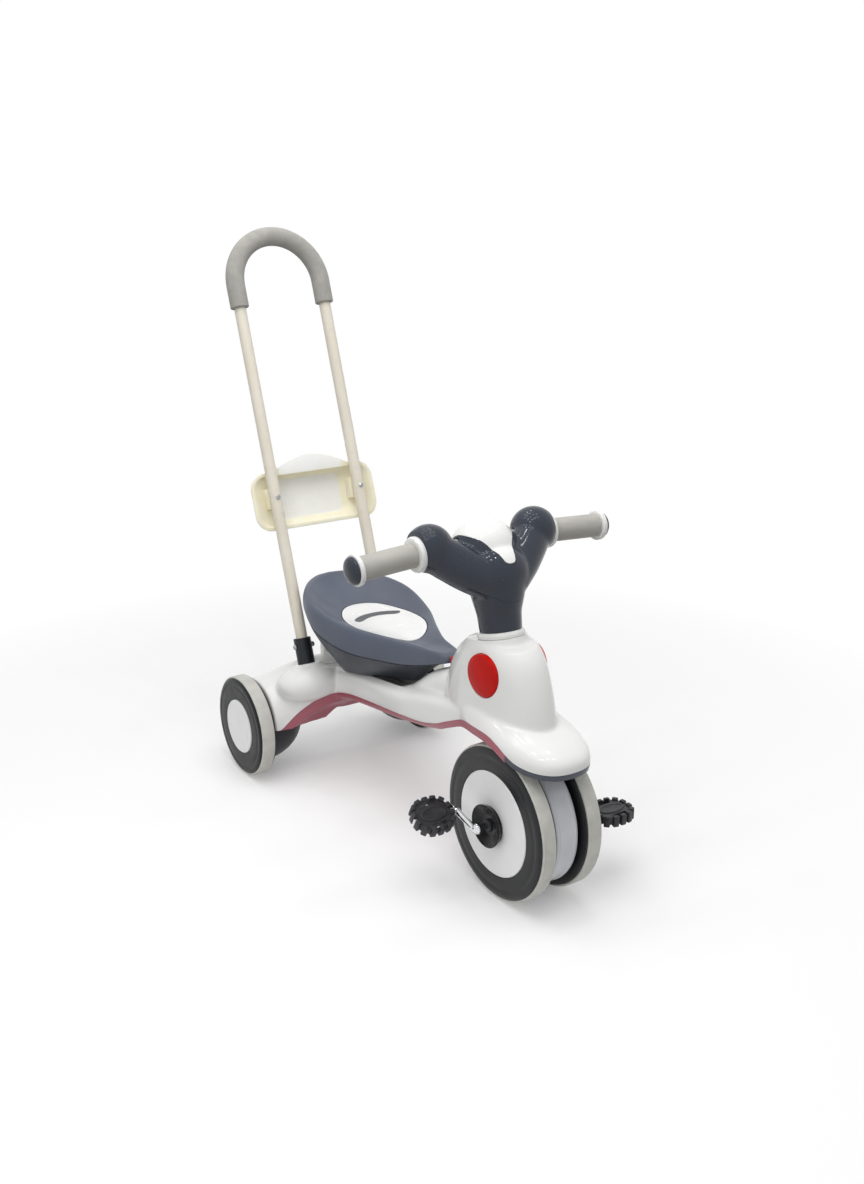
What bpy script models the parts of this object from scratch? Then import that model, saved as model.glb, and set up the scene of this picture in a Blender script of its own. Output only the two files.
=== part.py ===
import math

import bmesh
import bpy
from mathutils import Matrix, Vector

# Children's tricycle in metres. It faces -Y, its right side is -X, and the floor is z = 0.
# Every place below is counted from the floor point under the front axle.

# Clearances
GAP = 0.0003
RUNNING = 0.0003
WHEEL_SIDE_GAP = 0.003

# Front twin wheel
FRONT_RADIUS = 0.110
FRONT_OUTER = 0.0525
FRONT_TYRE = 0.029
FRONT_DISC_RADIUS = 0.0745
HUB_CONE_RADIUS = 0.0305
HUB_CONE_HEIGHT = 0.013
FRONT_AXLE_RADIUS = 0.006
DRUM_RADIUS = 0.097
FRONT_STEPS = 30

# Rear wheels
WHEELBASE = 0.526
REAR_RADIUS = 0.082
REAR_OUTER = 0.182
REAR_TYRE = 0.030
REAR_CAP_RADIUS = 0.044
REAR_AXLE_RADIUS = 0.005
REAR_STEPS = 28

# Tyre section, shared by all wheels
TREAD_DEPTH = 0.010
SIDEWALL_EDGE = 0.0035
DISC_THICK = 0.0025

# Cranks and pedals
CRANK_LENGTH = 0.048
CRANK_ANGLE = math.radians(12)
CRANK_ROD = 0.0045
CRANK_PLANE = 0.081
CRANK_CORNER = 0.006
PEDAL_WIDTH = 0.062
PEDAL_DEPTH = 0.056
PEDAL_HEIGHT = 0.016
PEDAL_TILT = {"right": math.radians(16), "left": math.radians(-12)}
PEDAL_TEETH = 12
PEDAL_PIN_CLEAR = 0.003
PEDAL_PAD_HALF = (0.021, 0.012)
PEDAL_PAD_PROUD = 0.0015
PEDAL_SLOT_HALF = (0.012, 0.0035)
PEDAL_SLOT_Y = 0.0185
PEDAL_ROUNDNESS = 0.88
KNOB_RADIUS = 0.0075
WASHER_RADIUS = 0.0085
WASHER_THICK = 0.0015

# Steering, along its raked axis from the front axle
RAKE = math.atan2(0.061, 0.247)
COLUMN_RADIUS = 0.011
COLUMN_FOOT = 0.058
BOSS_RADIUS = 0.0185
BOSS_TOP = 0.113
NECK_SEAT = 0.250
NECK_RING_RADIUS = 0.033
NECK_RING_HEIGHT = 0.0085
STEM_RADIUS = 0.029
STEM_FOOT = NECK_SEAT + NECK_RING_HEIGHT + 0.0006
COLUMN_IN_HEAD = 0.034
COLUMN_WALL = 0.0015
COLUMN_ROOM = 0.002
BOSS_BELOW = 0.010
BUSH_RADIUS = 0.016
BUSH_FOOT = 0.1238
BUSH_HEIGHT = 0.006

# Handlebar, in the steering frame
BAR_Y = 0.0175
BAR_Z = 0.3800
BAR_RADIUS = 0.0085
BAR_BEND_X = 0.070
BAR_DROOP = math.radians(3.5)
BALL_X = 0.086
BALL_LIFT = 0.0025
BALL_RADIUS = 0.033
COLLAR_START = 0.1045
COLLAR_WIDTH = 0.008
COLLAR_RADIUS = 0.0243
GRIP_RADIUS = 0.0165
GRIP_END = 0.1950
FLANGE_WIDTH = 0.007
FLANGE_RADIUS = 0.0214
END_CAP_RADIUS = 0.0188
END_CAP_WIDTH = 0.010

# Handlebar head, in the steering frame: stem (height, half width, half depth, shift), arms as
# (share of the way, radius), middle masses as (centre, radii) and the white panel's outline as
# (distance down the sloping front, half width)
STEM_SECTIONS = (
    (0.282, 0.0305, 0.0310, -0.001), (0.302, 0.0350, 0.0370, -0.003),
    (0.328, 0.0410, 0.0420, -0.004), (0.350, 0.0380, 0.0420, -0.003),
)
ARM_START = (0.014, -0.014, 0.325)
ARM_RADII = ((0, 0.0265), (0.35, 0.0290), (0.7, 0.0285), (1.0, 0.0265))
ARM_START_RADIUS = 0.0255
HEAD_MASSES = (((0, 0.018, 0.364), (0.049, 0.046, 0.048)), ((0, -0.008, 0.336), (0.047, 0.038, 0.042)))
HEAD_VOXEL = 0.0036
HEAD_SHARE = 0.052
PANEL_OUTLINE = ((0.000, 0.022), (0.008, 0.034), (0.020, 0.0390), (0.044, 0.0370), (0.060, 0.0310),
                 (0.074, 0.0220), (0.086, 0.0155), (0.098, 0.0110), (0.108, 0.0086), (0.1155, 0.0035))
PANEL_TOP = (0.055, 0.410)
PANEL_RUN = Vector((0, -0.824, -0.567))
PANEL_DEEP = -0.010
SEAM_LOW = 0.298
SEAM_HIGH = 0.322
SEAM_RISE = 0.60
SEAM_FLAT = 0.010

# Body: the white lower edge seen from the side, as (y, z)
BELLY_LINE = (
    (-0.160, 0.2170), (-0.100, 0.2170), (-0.070, 0.2190), (-0.050, 0.2225), (-0.034, 0.2284),
    (-0.016, 0.2352), (0.008, 0.2405), (0.040, 0.2400), (0.075, 0.2350), (0.121, 0.2140),
    (0.150, 0.1995), (0.194, 0.1856), (0.258, 0.1755), (0.3375, 0.1650), (0.393, 0.1570),
    (0.434, 0.1450), (0.450, 0.1360), (0.458, 0.1280), (0.466, 0.1080), (0.478, 0.0906),
    (0.640, 0.0906),
)
SPINE_HALF = 0.047
TAIL_CURVE = 4.9
STRIP_HEIGHT = 0.0105
TAIL_STRIP_HEIGHT = 0.026
TAIL_START = 0.36
TAIL_FULL = 0.45
LINER_HEIGHT = 0.0078
PAN_FRONT = -0.034
COVER_TOP = 0.090
COVER_RADIUS = 0.063
COVER_REACH = 0.073
HOUSING_END = 0.148
WHEEL_ROOM_TOP = 2 * FRONT_RADIUS + 0.009
LIP_WALL = 0.0035
DECK_FRONT = (0.250, 0.2155)
DECK_SLOPE = -0.16
DECK_END = 0.470
DECK_HALF = 0.053
TUB_HALF = 0.034
TUB_FRONT = 0.262
TUB_BACK = 0.400
TUB_WALL = 0.006

# Body sections: spine (y, half width, top), riser (height, half width, front y, back y), brim
# (inset, height, tilt), pods (x, y, z, half depth, half height) and pedestal (y, half width, top)
SPINE_SECTIONS = (
    (0.000, 0.044, 0.262), (0.060, 0.0485, 0.262), (0.110, 0.0485, 0.252),
    (0.150, 0.0475, 0.243), (0.200, 0.047, 0.232), (0.250, 0.047, 0.219), (0.330, 0.0475, 0.206),
    (0.410, 0.0500, 0.193), (0.450, 0.0540, 0.187), (0.500, 0.0560, 0.181), (0.530, 0.050, 0.172),
)
SPINE_FOOT = 0.100
SPINE_DEPTH = 0.045
RISER_SECTIONS = (
    (0.215, 0.0440, -0.040, 0.165), (0.245, 0.0480, -0.047, 0.168), (0.260, 0.0480, -0.046, 0.165),
    (0.290, 0.0475, -0.037, 0.156), (0.320, 0.0465, -0.023, 0.137), (0.338, 0.0430, -0.011, 0.119),
    (0.350, 0.0385, 0.002, 0.104),
)
NECK_FOOT = (0.150, 0.044)
NECK_WAIST = (0.220, 0.0395)
BRIM_HALF = 0.0612
BRIM_FRONT = -0.105
BRIM_BACK = 0.150
BRIM_TAPER = 0.32
BRIM_LEVELS = (
    (0.008, 0.200, 0.0), (0.0015, 0.206, 0.0), (0.0, 0.222, 0.04), (0.0, 0.240, 0.10),
    (0.004, 0.251, 0.16), (0.012, 0.2585, 0.20), (0.026, 0.2625, 0.22),
)
POD_SECTIONS = (
    (HOUSING_END, 0.523, 0.0885, 0.0640, 0.0665), (0.122, 0.520, 0.0910, 0.0645, 0.0690),
    (0.100, 0.512, 0.1010, 0.0640, 0.0680), (0.080, 0.503, 0.1140, 0.0630, 0.0640),
    (0.060, 0.498, 0.1300, 0.0620, 0.0520), (0.030, 0.494, 0.1435, 0.0600, 0.0400),
)
POD_MIDDLE = (0, 0.493, 0.1450, 0.0600, 0.0385)
PEDESTAL_SECTIONS = (
    (0.120, 0.030, 0.272), (0.160, 0.029, 0.2725), (0.185, 0.028, 0.2650),
    (0.210, 0.028, 0.2530), (0.232, 0.029, 0.2370), (0.255, 0.030, 0.2200),
)
PEDESTAL_RISE = 0.030
FORM_XS = (-0.20, -0.15, -0.13, -0.11, -0.09, -0.07, -0.05, 0.05, 0.07, 0.09, 0.11, 0.13, 0.15, 0.20)
FORM_TOP = 0.5
ROOM_FOOT = 0.15
STRIP_END = 0.482
COVER_KEEP = (0.05, 0.42, 0.64)
FORM_VOXEL = 0.0042
FORM_SHARE = 0.046

# Side lens and latch button
LENS_RADIUS = 0.030
LENS_PLACE = (0.0445, 0.040, 0.311)
LENS_TURN = math.radians(6.5)
LENS_DEPTH = 0.006
BUTTON_HALF = 0.011
BUTTON_LOW = 0.2745
BUTTON_HIGH = 0.2895
BUTTON_FRONT = 0.142
BUTTON_TRAVEL = 0.004
BUTTON_BEVEL = 0.0015
NOSE_GAP = 0.0006
POCKET_END = 0.200

# Seat, drawn in plan as half outline (x, y) from nose to back
SEAT_OUTLINE = (
    (0.000, 0.168), (0.016, 0.178), (0.030, 0.235), (0.052, 0.290), (0.080, 0.355),
    (0.0935, 0.425), (0.085, 0.474), (0.058, 0.517), (0.027, 0.543), (0.000, 0.550),
)
SEAT_CENTRE = 0.375
SEAM_LINE = ((0.168, 0.2770), (0.24, 0.2530), (0.30, 0.2470), (0.36, 0.2480), (0.42, 0.2600),
             (0.46, 0.2780), (0.52, 0.2950), (0.556, 0.3000))
RIM_LINE = ((0.168, 0.2880), (0.24, 0.2860), (0.30, 0.2870), (0.36, 0.2900), (0.42, 0.2970),
            (0.48, 0.3060), (0.52, 0.3110), (0.556, 0.3120))
PAN_FOOT = 0.52
PAN_SHARES = (0, 0.25, 0.5, 0.75, 1)
PAN_FLOOR_INSET = 0.045
SEAT_WALL = 0.0042
PAN_CLEAR = 0.0008
PAN_INSET = 0.012
DISH_FLOOR = 0.2735
DISH_POWER = 3.0
RIM_CREST = 0.90
INSERT_WIDTH = 0.110
INSERT_LENGTH = 0.178
INSERT_Y = 0.368
INSERT_THICK = 0.0018
INSERT_PROUD = 0.0006
SEAT_PEG_RADIUS = 0.005
SEAT_PEG_PLACE = (0.030, 0.430)
HINGE_Y = 0.5475
HINGE_Z = 0.268
HINGE_PIN_RADIUS = 0.003
HINGE_POST_HALF = 0.014
HINGE_EAR_WIDTH = 0.007
HINGE_BLOCK = 0.007
HINGE_EAR_FRONT = 0.0215
HINGE_POST_FOOT = 0.15

# Push bar, along its leaning line from the backrest screws
PUSH_LEAN = math.radians(20)
PUSH_HALF = 0.077
SCREW_Y = 0.5764
SCREW_Z = 0.4403
PUSH_TUBE_RADIUS = 0.0095
PUSH_TUBE_WALL = 0.0012
ARC_TOP = 0.4227
FOAM_LOW = 0.3088
FOAM_RADIUS = 0.015
SOCKET_TOP = -0.2298
SOCKET_LENGTH = 0.062
SOCKET_RADIUS = 0.014
TUBE_FOOT = -0.283
SOCKET_BOLT = -0.243
BOLT_RADIUS = 0.0024
BOLT_HEAD_RADIUS = 0.0045
NUT_WIDTH = 0.0040
SCREW_RADIUS = 0.0020
SCREW_HEAD_RADIUS = 0.0042
SCREW_REACH = 0.010
BOSS_WALL = 0.007
BOSS_LENGTH = 0.018
PUSH_STEPS = 10

# Backrest, in the push bar's leaning plane
BACKREST_HALF = 0.112
BACKREST_LOW = -0.052
BACKREST_HIGH = 0.042
BACKREST_ARCH = 0.023
BACKREST_ARCH_HALF = 0.072
BACKREST_DEPTH = 0.025
BACKREST_WALL = 0.003
BACKREST_RIM = 0.006
BACKREST_CORNER = 0.026
PANEL_HALF = 0.058
PANEL_LOW = -0.034
PANEL_HIGH = 0.030
PANEL_CORNER = 0.010
PAD_SIZE = (0.018, 0.020, 0.034)
ARCH_SHARES = (0.75, 0.45, 0.15, -0.15, -0.45, -0.75)

BAR_REAR = SCREW_Y + ARC_TOP * math.sin(PUSH_LEAN) + FOAM_RADIUS
FRONT_AXLE_Y = (FRONT_RADIUS - BAR_REAR) / 2
SIDES = (("right", -1), ("left", 1))


def clear_scene():
    for item in list(bpy.data.objects):
        bpy.data.objects.remove(item, do_unlink=True)


def linear(channel):
    return channel / 12.92 if channel <= 0.04045 else ((channel + 0.055) / 1.055) ** 2.4


def material(name, colour, roughness, metallic=0.0):
    made = bpy.data.materials.new(name)
    made.use_nodes = True
    shader = made.node_tree.nodes["Principled BSDF"]
    rgb = [linear(int(colour[i:i + 2], 16) / 255) for i in (1, 3, 5)]
    shader.inputs["Base Color"].default_value = (*rgb, 1)
    shader.inputs["Roughness"].default_value = roughness
    shader.inputs["Metallic"].default_value = metallic
    return made


def empty(name, parent, place, turn=(0, 0, 0)):
    made = bpy.data.objects.new(name, None)
    bpy.context.collection.objects.link(made)
    made.parent = parent
    made.location = place
    made.rotation_euler = turn
    return made


def piece(name, shape, finish, parent, place=(0, 0, 0), turn=(0, 0, 0)):
    mesh = bpy.data.meshes.new(name)
    shape.to_mesh(mesh)
    shape.free()
    mesh.shade_smooth()
    mesh.set_sharp_from_angle(angle=math.radians(35))
    made = bpy.data.objects.new(name, mesh)
    bpy.context.collection.objects.link(made)
    made.parent = parent
    made.location = place
    made.rotation_euler = turn
    if finish:
        mesh.materials.append(finish)
    return made


def cutter(name, shape, parent, place=(0, 0, 0), turn=(0, 0, 0)):
    made = piece(name, shape, None, parent, place, turn)
    made.hide_render = True
    made.display_type = "WIRE"
    return made


def combine(target, other, operation="DIFFERENCE"):
    change = target.modifiers.new(f"{operation.lower()} {other.name}", "BOOLEAN")
    change.operation = operation
    change.solver = "EXACT"
    change.object = other


def join_rings(shape, first, second):
    if len(first) == len(second) == 1:
        return
    if len(first) == 1:
        first, second = second, first
    count = len(first)
    for i in range(count):
        j = (i + 1) % count
        if len(second) == 1:
            shape.faces.new((first[i], first[j], second[0]))
        else:
            shape.faces.new((first[i], first[j], second[j], second[i]))


def skin(rings, closed=False):
    # Closed mesh over rings of points; end rings get a cap unless the rings meet end to end.
    shape = bmesh.new()
    made = [[shape.verts.new(point) for point in ring] for ring in rings]
    for first, second in zip(made, made[1:]):
        join_rings(shape, first, second)
    if closed:
        join_rings(shape, made[-1], made[0])
    else:
        for ring in (made[0], made[-1]):
            if len(ring) > 2:
                shape.faces.new(ring)
    bmesh.ops.recalc_face_normals(shape, faces=shape.faces)
    return shape


def turned(profile, steps):
    # Turned about local X from (x, radius); a radius of 0 is a pole, and no pole makes a ring.
    rings = []
    for along, radius in profile:
        if radius == 0:
            rings.append([(along, 0, 0)])
            continue
        angles = [2 * math.pi * (i + 0.5) / steps for i in range(steps)]
        rings.append([(along, radius * math.sin(a), radius * math.cos(a)) for a in angles])
    return skin(rings, closed=profile[0][1] > 0)


def rod(start, end, radius, steps):
    angles = [2 * math.pi * (i + 0.5) / steps for i in range(steps)]
    return skin([[(x, radius * math.sin(a), radius * math.cos(a)) for a in angles] for x in (start, end)])


def washer(start, end, bore, radius, steps):
    return turned(((start, bore), (start, radius), (end, radius), (end, bore)), steps)


def across_flats(radius, steps):
    # Corner radius of a polygon whose flats lie at the given radius.
    return radius / math.cos(math.pi / steps)


def box(low, high):
    shape = bmesh.new()
    bmesh.ops.create_cube(shape, size=1)
    size = [high[i] - low[i] for i in range(3)]
    middle = Vector([(high[i] + low[i]) / 2 for i in range(3)])
    bmesh.ops.scale(shape, vec=size, verts=shape.verts)
    bmesh.ops.translate(shape, vec=middle, verts=shape.verts)
    return shape


def interpolate(line, at):
    if at <= line[0][0]:
        return line[0][1]
    for (a, low), (b, high) in zip(line, line[1:]):
        if at <= b:
            return low + (high - low) * (at - a) / (b - a)
    return line[-1][1]


def smooth_line(points, steps):
    # Catmull-Rom curve through open points, with the given steps in each stretch.
    ends = [2 * points[0] - points[1], *points, 2 * points[-1] - points[-2]]
    made = []
    for a, b, c, d in zip(ends, ends[1:], ends[2:], ends[3:]):
        for k in range(steps):
            t = k / steps
            made.append(0.5 * (2 * b + (c - a) * t + (2 * a - 5 * b + 4 * c - d) * t ** 2
                               + (3 * b - a - 3 * c + d) * t ** 3))
    made.append(points[-1])
    return made


def swept(path, normal, outer, steps, bore=0):
    # Round tube along a flat path; the normal is square to the path's plane.
    def ring(index, radius):
        before = path[max(index - 1, 0)]
        after = path[min(index + 1, len(path) - 1)]
        side = (after - before).normalized().cross(normal)
        angles = [2 * math.pi * k / steps for k in range(steps)]
        return [path[index] + radius * (math.cos(a) * normal + math.sin(a) * side) for a in angles]

    outside = [ring(i, outer) for i in range(len(path))]
    if not bore:
        return skin(outside)
    inside = [ring(i, bore) for i in reversed(range(len(path)))]
    return skin(outside + inside, closed=True)


def oval_ring(centre, half_x, half_y, height, power=2.0, steps=28):
    # Rounded outline in plan.
    ring = []
    for i in range(steps):
        a = 2 * math.pi * (i + 0.5) / steps
        c, s = math.cos(a), math.sin(a)
        x = half_x * math.copysign(abs(c) ** (2 / power), c)
        y = half_y * math.copysign(abs(s) ** (2 / power), s)
        ring.append((x, centre + y, height))
    return ring


def split_quads(shape):
    # The same diagonals on matching surfaces keep the gap between them even.
    bmesh.ops.triangulate(shape, faces=shape.faces, quad_method="FIXED")
    return shape


def height_block(xs, ys, low, high):
    # Closed block between two heights over a grid.
    shape = bmesh.new()
    layers = []
    for level in (low, high):
        layers.append([[shape.verts.new((x, y, level(x, y))) for y in ys] for x in xs])
    for grid in layers:
        for i in range(len(xs) - 1):
            for j in range(len(ys) - 1):
                shape.faces.new((grid[i][j], grid[i + 1][j], grid[i + 1][j + 1], grid[i][j + 1]))
    bottom, top = layers
    edge = [(i, 0) for i in range(len(xs))]
    edge += [(len(xs) - 1, j) for j in range(1, len(ys))]
    edge += [(i, len(ys) - 1) for i in reversed(range(len(xs) - 1))]
    edge += [(0, j) for j in reversed(range(1, len(ys) - 1))]
    for (a, b), (c, d) in zip(edge, edge[1:] + edge[:1]):
        shape.faces.new((bottom[a][b], bottom[c][d], top[c][d], top[a][b]))
    bmesh.ops.recalc_face_normals(shape, faces=shape.faces)
    return split_quads(shape)


def add_shape(target, other):
    mesh = bpy.data.meshes.new("joined shape")
    other.to_mesh(mesh)
    other.free()
    target.from_mesh(mesh)
    bpy.data.meshes.remove(mesh)


def soften(target, voxel, rounds, share):
    # Blends overlapping shapes into one skin, smooths it and thins out its triangles.
    blend = target.modifiers.new("blend", "REMESH")
    blend.mode = "VOXEL"
    blend.voxel_size = voxel
    relax = target.modifiers.new("relax", "SMOOTH")
    relax.factor = 0.5
    relax.iterations = rounds
    thin = target.modifiers.new("thin", "DECIMATE")
    thin.ratio = share


def belly(x, y):
    beyond = max(abs(x) - SPINE_HALF - 0.003, 0) if y > TAIL_START else 0
    return max(interpolate(BELLY_LINE, y) - TAIL_CURVE * beyond ** 2, COVER_TOP + 2 * GAP)


def strip_foot(x, y):
    share = min(max((y - TAIL_START) / (TAIL_FULL - TAIL_START), 0), 1)
    height = STRIP_HEIGHT + (TAIL_STRIP_HEIGHT - STRIP_HEIGHT) * share ** 2
    return max(belly(x, y) - height, COVER_TOP + GAP)


def deck(y):
    return DECK_FRONT[1] + DECK_SLOPE * (y - DECK_FRONT[0])


def spine_shape():
    rings = []
    for y, half, top in SPINE_SECTIONS:
        foot = min(interpolate(BELLY_LINE, y), top - SPINE_DEPTH) - STRIP_HEIGHT - 0.004
        foot = max(foot, SPINE_FOOT)
        middle, rise = (top + foot) / 2, (top - foot) / 2
        ring = oval_ring(0, half, rise, 0, power=3.6, steps=28)
        rings.append([(x, y, middle + up) for x, up, _ in ring])
    return skin(rings)


def riser_shape():
    rings = []
    for height, half, front, back in RISER_SECTIONS:
        rings.append(oval_ring((front + back) / 2, half, (back - front) / 2, height, power=2.2))
    return skin(rings)


def neck_shape():
    # Raked cone that carries the neck ring.
    top = NECK_SEAT + 0.004
    shape = turned(((NECK_FOOT[0], 0), NECK_FOOT, NECK_WAIST, (top, NECK_RING_RADIUS + 0.0015), (top, 0)), 28)
    raise_axis = Matrix.Rotation(-RAKE, 4, "X") @ Matrix.Rotation(-math.pi / 2, 4, "Y")
    place = Matrix.Translation((0, 0, FRONT_RADIUS)) @ raise_axis
    bmesh.ops.transform(shape, matrix=place, verts=shape.verts)
    return shape


def brim_ring(inset, height, tilt):
    # Visor outline: blunt round front, widest over the axle, tapering into the spine.
    ring = []
    front, back, half = BRIM_FRONT + inset, BRIM_BACK - inset, BRIM_HALF - inset
    count = 32
    for i in range(count):
        a = 2 * math.pi * (i + 0.5) / count
        c, s = math.cos(a), math.sin(a)
        reach = front if s < 0 else back
        y = abs(reach) * math.copysign(abs(s) ** 0.80, s)
        taper = 1 - BRIM_TAPER * max(y / back, 0) ** 2
        x = half * math.copysign(abs(c) ** 0.80, c) * taper
        ring.append((x, y, height + tilt * y))
    return ring


def brim_shape():
    return skin([brim_ring(*level) for level in BRIM_LEVELS])


def pod_shape():
    # Cross beam that swells into a drum inside each rear wheel.
    sections = [(-x, *rest) for x, *rest in POD_SECTIONS] + [POD_MIDDLE, *reversed(POD_SECTIONS)]
    rings = []
    for x, y, z, deep, high in sections:
        ring = oval_ring(0, deep, high, 0, power=2.1, steps=28)
        rings.append([(x, y + along, z + up) for along, up, _ in ring])
    return skin(rings)


def pedestal_shape():
    # Rise under the seat's nose.
    rings = []
    for y, half, top in PEDESTAL_SECTIONS:
        ring = oval_ring(0, half, PEDESTAL_RISE, 0, power=2.6, steps=24)
        rings.append([(x, y, top - PEDESTAL_RISE + up) for x, up, _ in ring])
    return skin(rings)


def leaned(x, behind, along):
    # A place in the push bar's frame: sideways, behind its plane and up along it.
    return Vector((x, SCREW_Y + behind * math.cos(PUSH_LEAN) + along * math.sin(PUSH_LEAN),
                   SCREW_Z - behind * math.sin(PUSH_LEAN) + along * math.cos(PUSH_LEAN)))


def socket_boss_shape(sign):
    foot = SOCKET_TOP - SOCKET_LENGTH + 0.002
    path = [leaned(sign * PUSH_HALF, 0, along) for along in (foot, foot + BOSS_LENGTH)]
    return swept(path, Vector((1, 0, 0)), SOCKET_RADIUS + BOSS_WALL, 20)


def body_form(name, finish, root):
    form = bmesh.new()
    shapes = [spine_shape(), riser_shape(), neck_shape(), brim_shape(), pod_shape(), pedestal_shape()]
    shapes += [socket_boss_shape(sign) for _, sign in SIDES]
    for shape in shapes:
        add_shape(form, shape)
    made = piece(name, form, finish, root)
    soften(made, FORM_VOXEL, 5, FORM_SHARE)
    return made


def make_body_cutters(root):
    made = {}
    ys = [y for y, _ in BELLY_LINE]
    made["above"] = cutter("cut_above_belly", height_block(
        FORM_XS, ys, lambda x, y: belly(x, y) + GAP, lambda x, y: FORM_TOP), root)
    pan_ys = [PAN_FRONT + GAP] + [y for y in ys if PAN_FRONT < y < STRIP_END - 0.002] + [STRIP_END]
    made["strip"] = cutter("cut_strip", height_block(FORM_XS, pan_ys, strip_foot, belly), root)
    liner_ys = [y for y in ys if y < PAN_FRONT] + [PAN_FRONT]
    made["liner"] = cutter("cut_liner", height_block(
        FORM_XS, liner_ys, lambda x, y: belly(x, y) - LINER_HEIGHT, belly), root)
    room = [brim_ring(LIP_WALL, height, 0) for height in (ROOM_FOOT, WHEEL_ROOM_TOP)]
    made["room"] = cutter("cut_wheel_room", skin(room), root)
    made["deck"] = cutter("cut_deck", height_block(
        (-DECK_HALF, DECK_HALF), (DECK_FRONT[0], DECK_END), lambda x, y: deck(y), lambda x, y: FORM_TOP),
        root)
    tub_ys = (TUB_FRONT, TUB_BACK)
    made["seat"] = cutter("cut_seat_room", pan_clearance(seat_outline()), root)
    made["tub"] = cutter("cut_tub", height_block(
        (-TUB_HALF, TUB_HALF), tub_ys, lambda x, y: belly(x, y) + TUB_WALL, lambda x, y: FORM_TOP), root)
    made["pocket"] = cutter("cut_button_pocket", box(
        (-BUTTON_HALF - GAP, BUTTON_FRONT - BUTTON_TRAVEL - 0.001, BUTTON_LOW - GAP),
        (BUTTON_HALF + GAP, POCKET_END, BUTTON_HIGH + GAP)), root)
    made["axle"] = cutter("cut_rear_axle", rod(-0.2, 0.2, REAR_AXLE_RADIUS + GAP, 16),
                          root, (0, WHEELBASE, REAR_RADIUS))
    return made


def make_body(root, steer, parts, paint):
    body = body_form("body_shell", paint["white"], root)
    post = box((-HINGE_POST_HALF, HINGE_Y - HINGE_BLOCK, HINGE_POST_FOOT),
               (HINGE_POST_HALF, HINGE_Y + HINGE_BLOCK, HINGE_Z + HINGE_BLOCK + 0.0015))
    combine(body, cutter("hinge_post", post, root), "UNION")
    combine(body, cutter("cut_hinge_post", hinge_rod(GAP), root, (0, HINGE_Y, HINGE_Z)))
    combine(body, parts["above"], "INTERSECT")
    bore = rod(0, NECK_SEAT + 0.05, COLUMN_RADIUS + COLUMN_ROOM, 20)
    parts["bore"] = cutter("cut_column_bore", bore, steer, turn=(0, -math.pi / 2, 0))
    top = rod(NECK_SEAT, NECK_SEAT + 0.06, 0.06, 20)
    parts["neck"] = cutter("cut_neck_top", top, steer, turn=(0, -math.pi / 2, 0))
    for name in ("room", "deck", "seat", "tub", "pocket", "neck", "bore"):
        combine(body, parts[name])
    for side, sign in SIDES:
        path = [leaned(sign * PUSH_HALF, 0, SOCKET_TOP - SOCKET_LENGTH - GAP),
                leaned(sign * PUSH_HALF, 0, SOCKET_TOP)]
        hole = cutter(f"cut_socket_{side}", swept(path, Vector((1, 0, 0)), SOCKET_RADIUS + GAP, 16), root)
        combine(body, hole)
        pocket = rod(-LENS_DEPTH - GAP, 0.05, LENS_RADIUS + GAP, 28)
        place, turn = lens_place(sign)
        combine(body, cutter(f"cut_lens_{side}", pocket, root, place, turn))
        peg = rod(-0.008, 0.02, SEAT_PEG_RADIUS + RUNNING, 12)
        combine(body, cutter(f"cut_peg_{side}", peg, root, peg_place(sign), (0, -math.pi / 2, 0)))
    return body


def hinge_rod(grow):
    reach = HINGE_POST_HALF + GAP + HINGE_EAR_WIDTH + 0.002
    return rod(-reach, reach, HINGE_PIN_RADIUS + grow, 16)


def lens_place(sign):
    x, y, z = LENS_PLACE
    turn = -LENS_TURN if sign > 0 else math.pi + LENS_TURN
    return (sign * x, y, z), (0, 0, turn)


def peg_place(sign):
    x, y = SEAT_PEG_PLACE
    return (sign * x, y, deck(y))


def make_lower_body(root, steer, parts, paint):
    pan = body_form("belly_pan", paint["rose"], root)
    combine(pan, parts["strip"], "INTERSECT")
    combine(pan, parts["room"])
    hole = rod(0, 0.2, BUSH_RADIUS + GAP, 20)
    combine(pan, cutter("cut_bush_hole", hole, steer, turn=(0, -math.pi / 2, 0)))
    liner = body_form("fender_liner", paint["slate"], root)
    combine(liner, parts["liner"], "INTERSECT")
    combine(liner, parts["room"])
    bush = washer(BUSH_FOOT, BUSH_FOOT + BUSH_HEIGHT, COLUMN_RADIUS + RUNNING, BUSH_RADIUS, 20)
    piece("steering_bush", bush, paint["dark"], steer, turn=(0, -math.pi / 2, 0))
    piece("neck_ring", washer(NECK_SEAT + GAP, NECK_SEAT + NECK_RING_HEIGHT, COLUMN_RADIUS + RUNNING,
                              NECK_RING_RADIUS, 28), paint["white"], steer, turn=(0, -math.pi / 2, 0))


def make_rear_covers(root, parts, paint):
    # Quarter domes that close the axle housing below.
    start, front, back = COVER_KEEP
    for side, sign in SIDES:
        radii = (COVER_REACH, COVER_RADIUS, COVER_RADIUS)
        dome = ellipsoid((sign * HOUSING_END, WHEELBASE, REAR_RADIUS), radii)
        cover = piece(f"rear_cover_{side}", dome, paint["dark"], root)
        xs = sorted((sign * start, sign * HOUSING_END))
        keep = height_block(xs, (front, back), lambda x, y: 0.0, lambda x, y: COVER_TOP)
        combine(cover, cutter(f"cut_cover_{side}", keep, root), "INTERSECT")
        combine(cover, parts["axle"])


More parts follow.
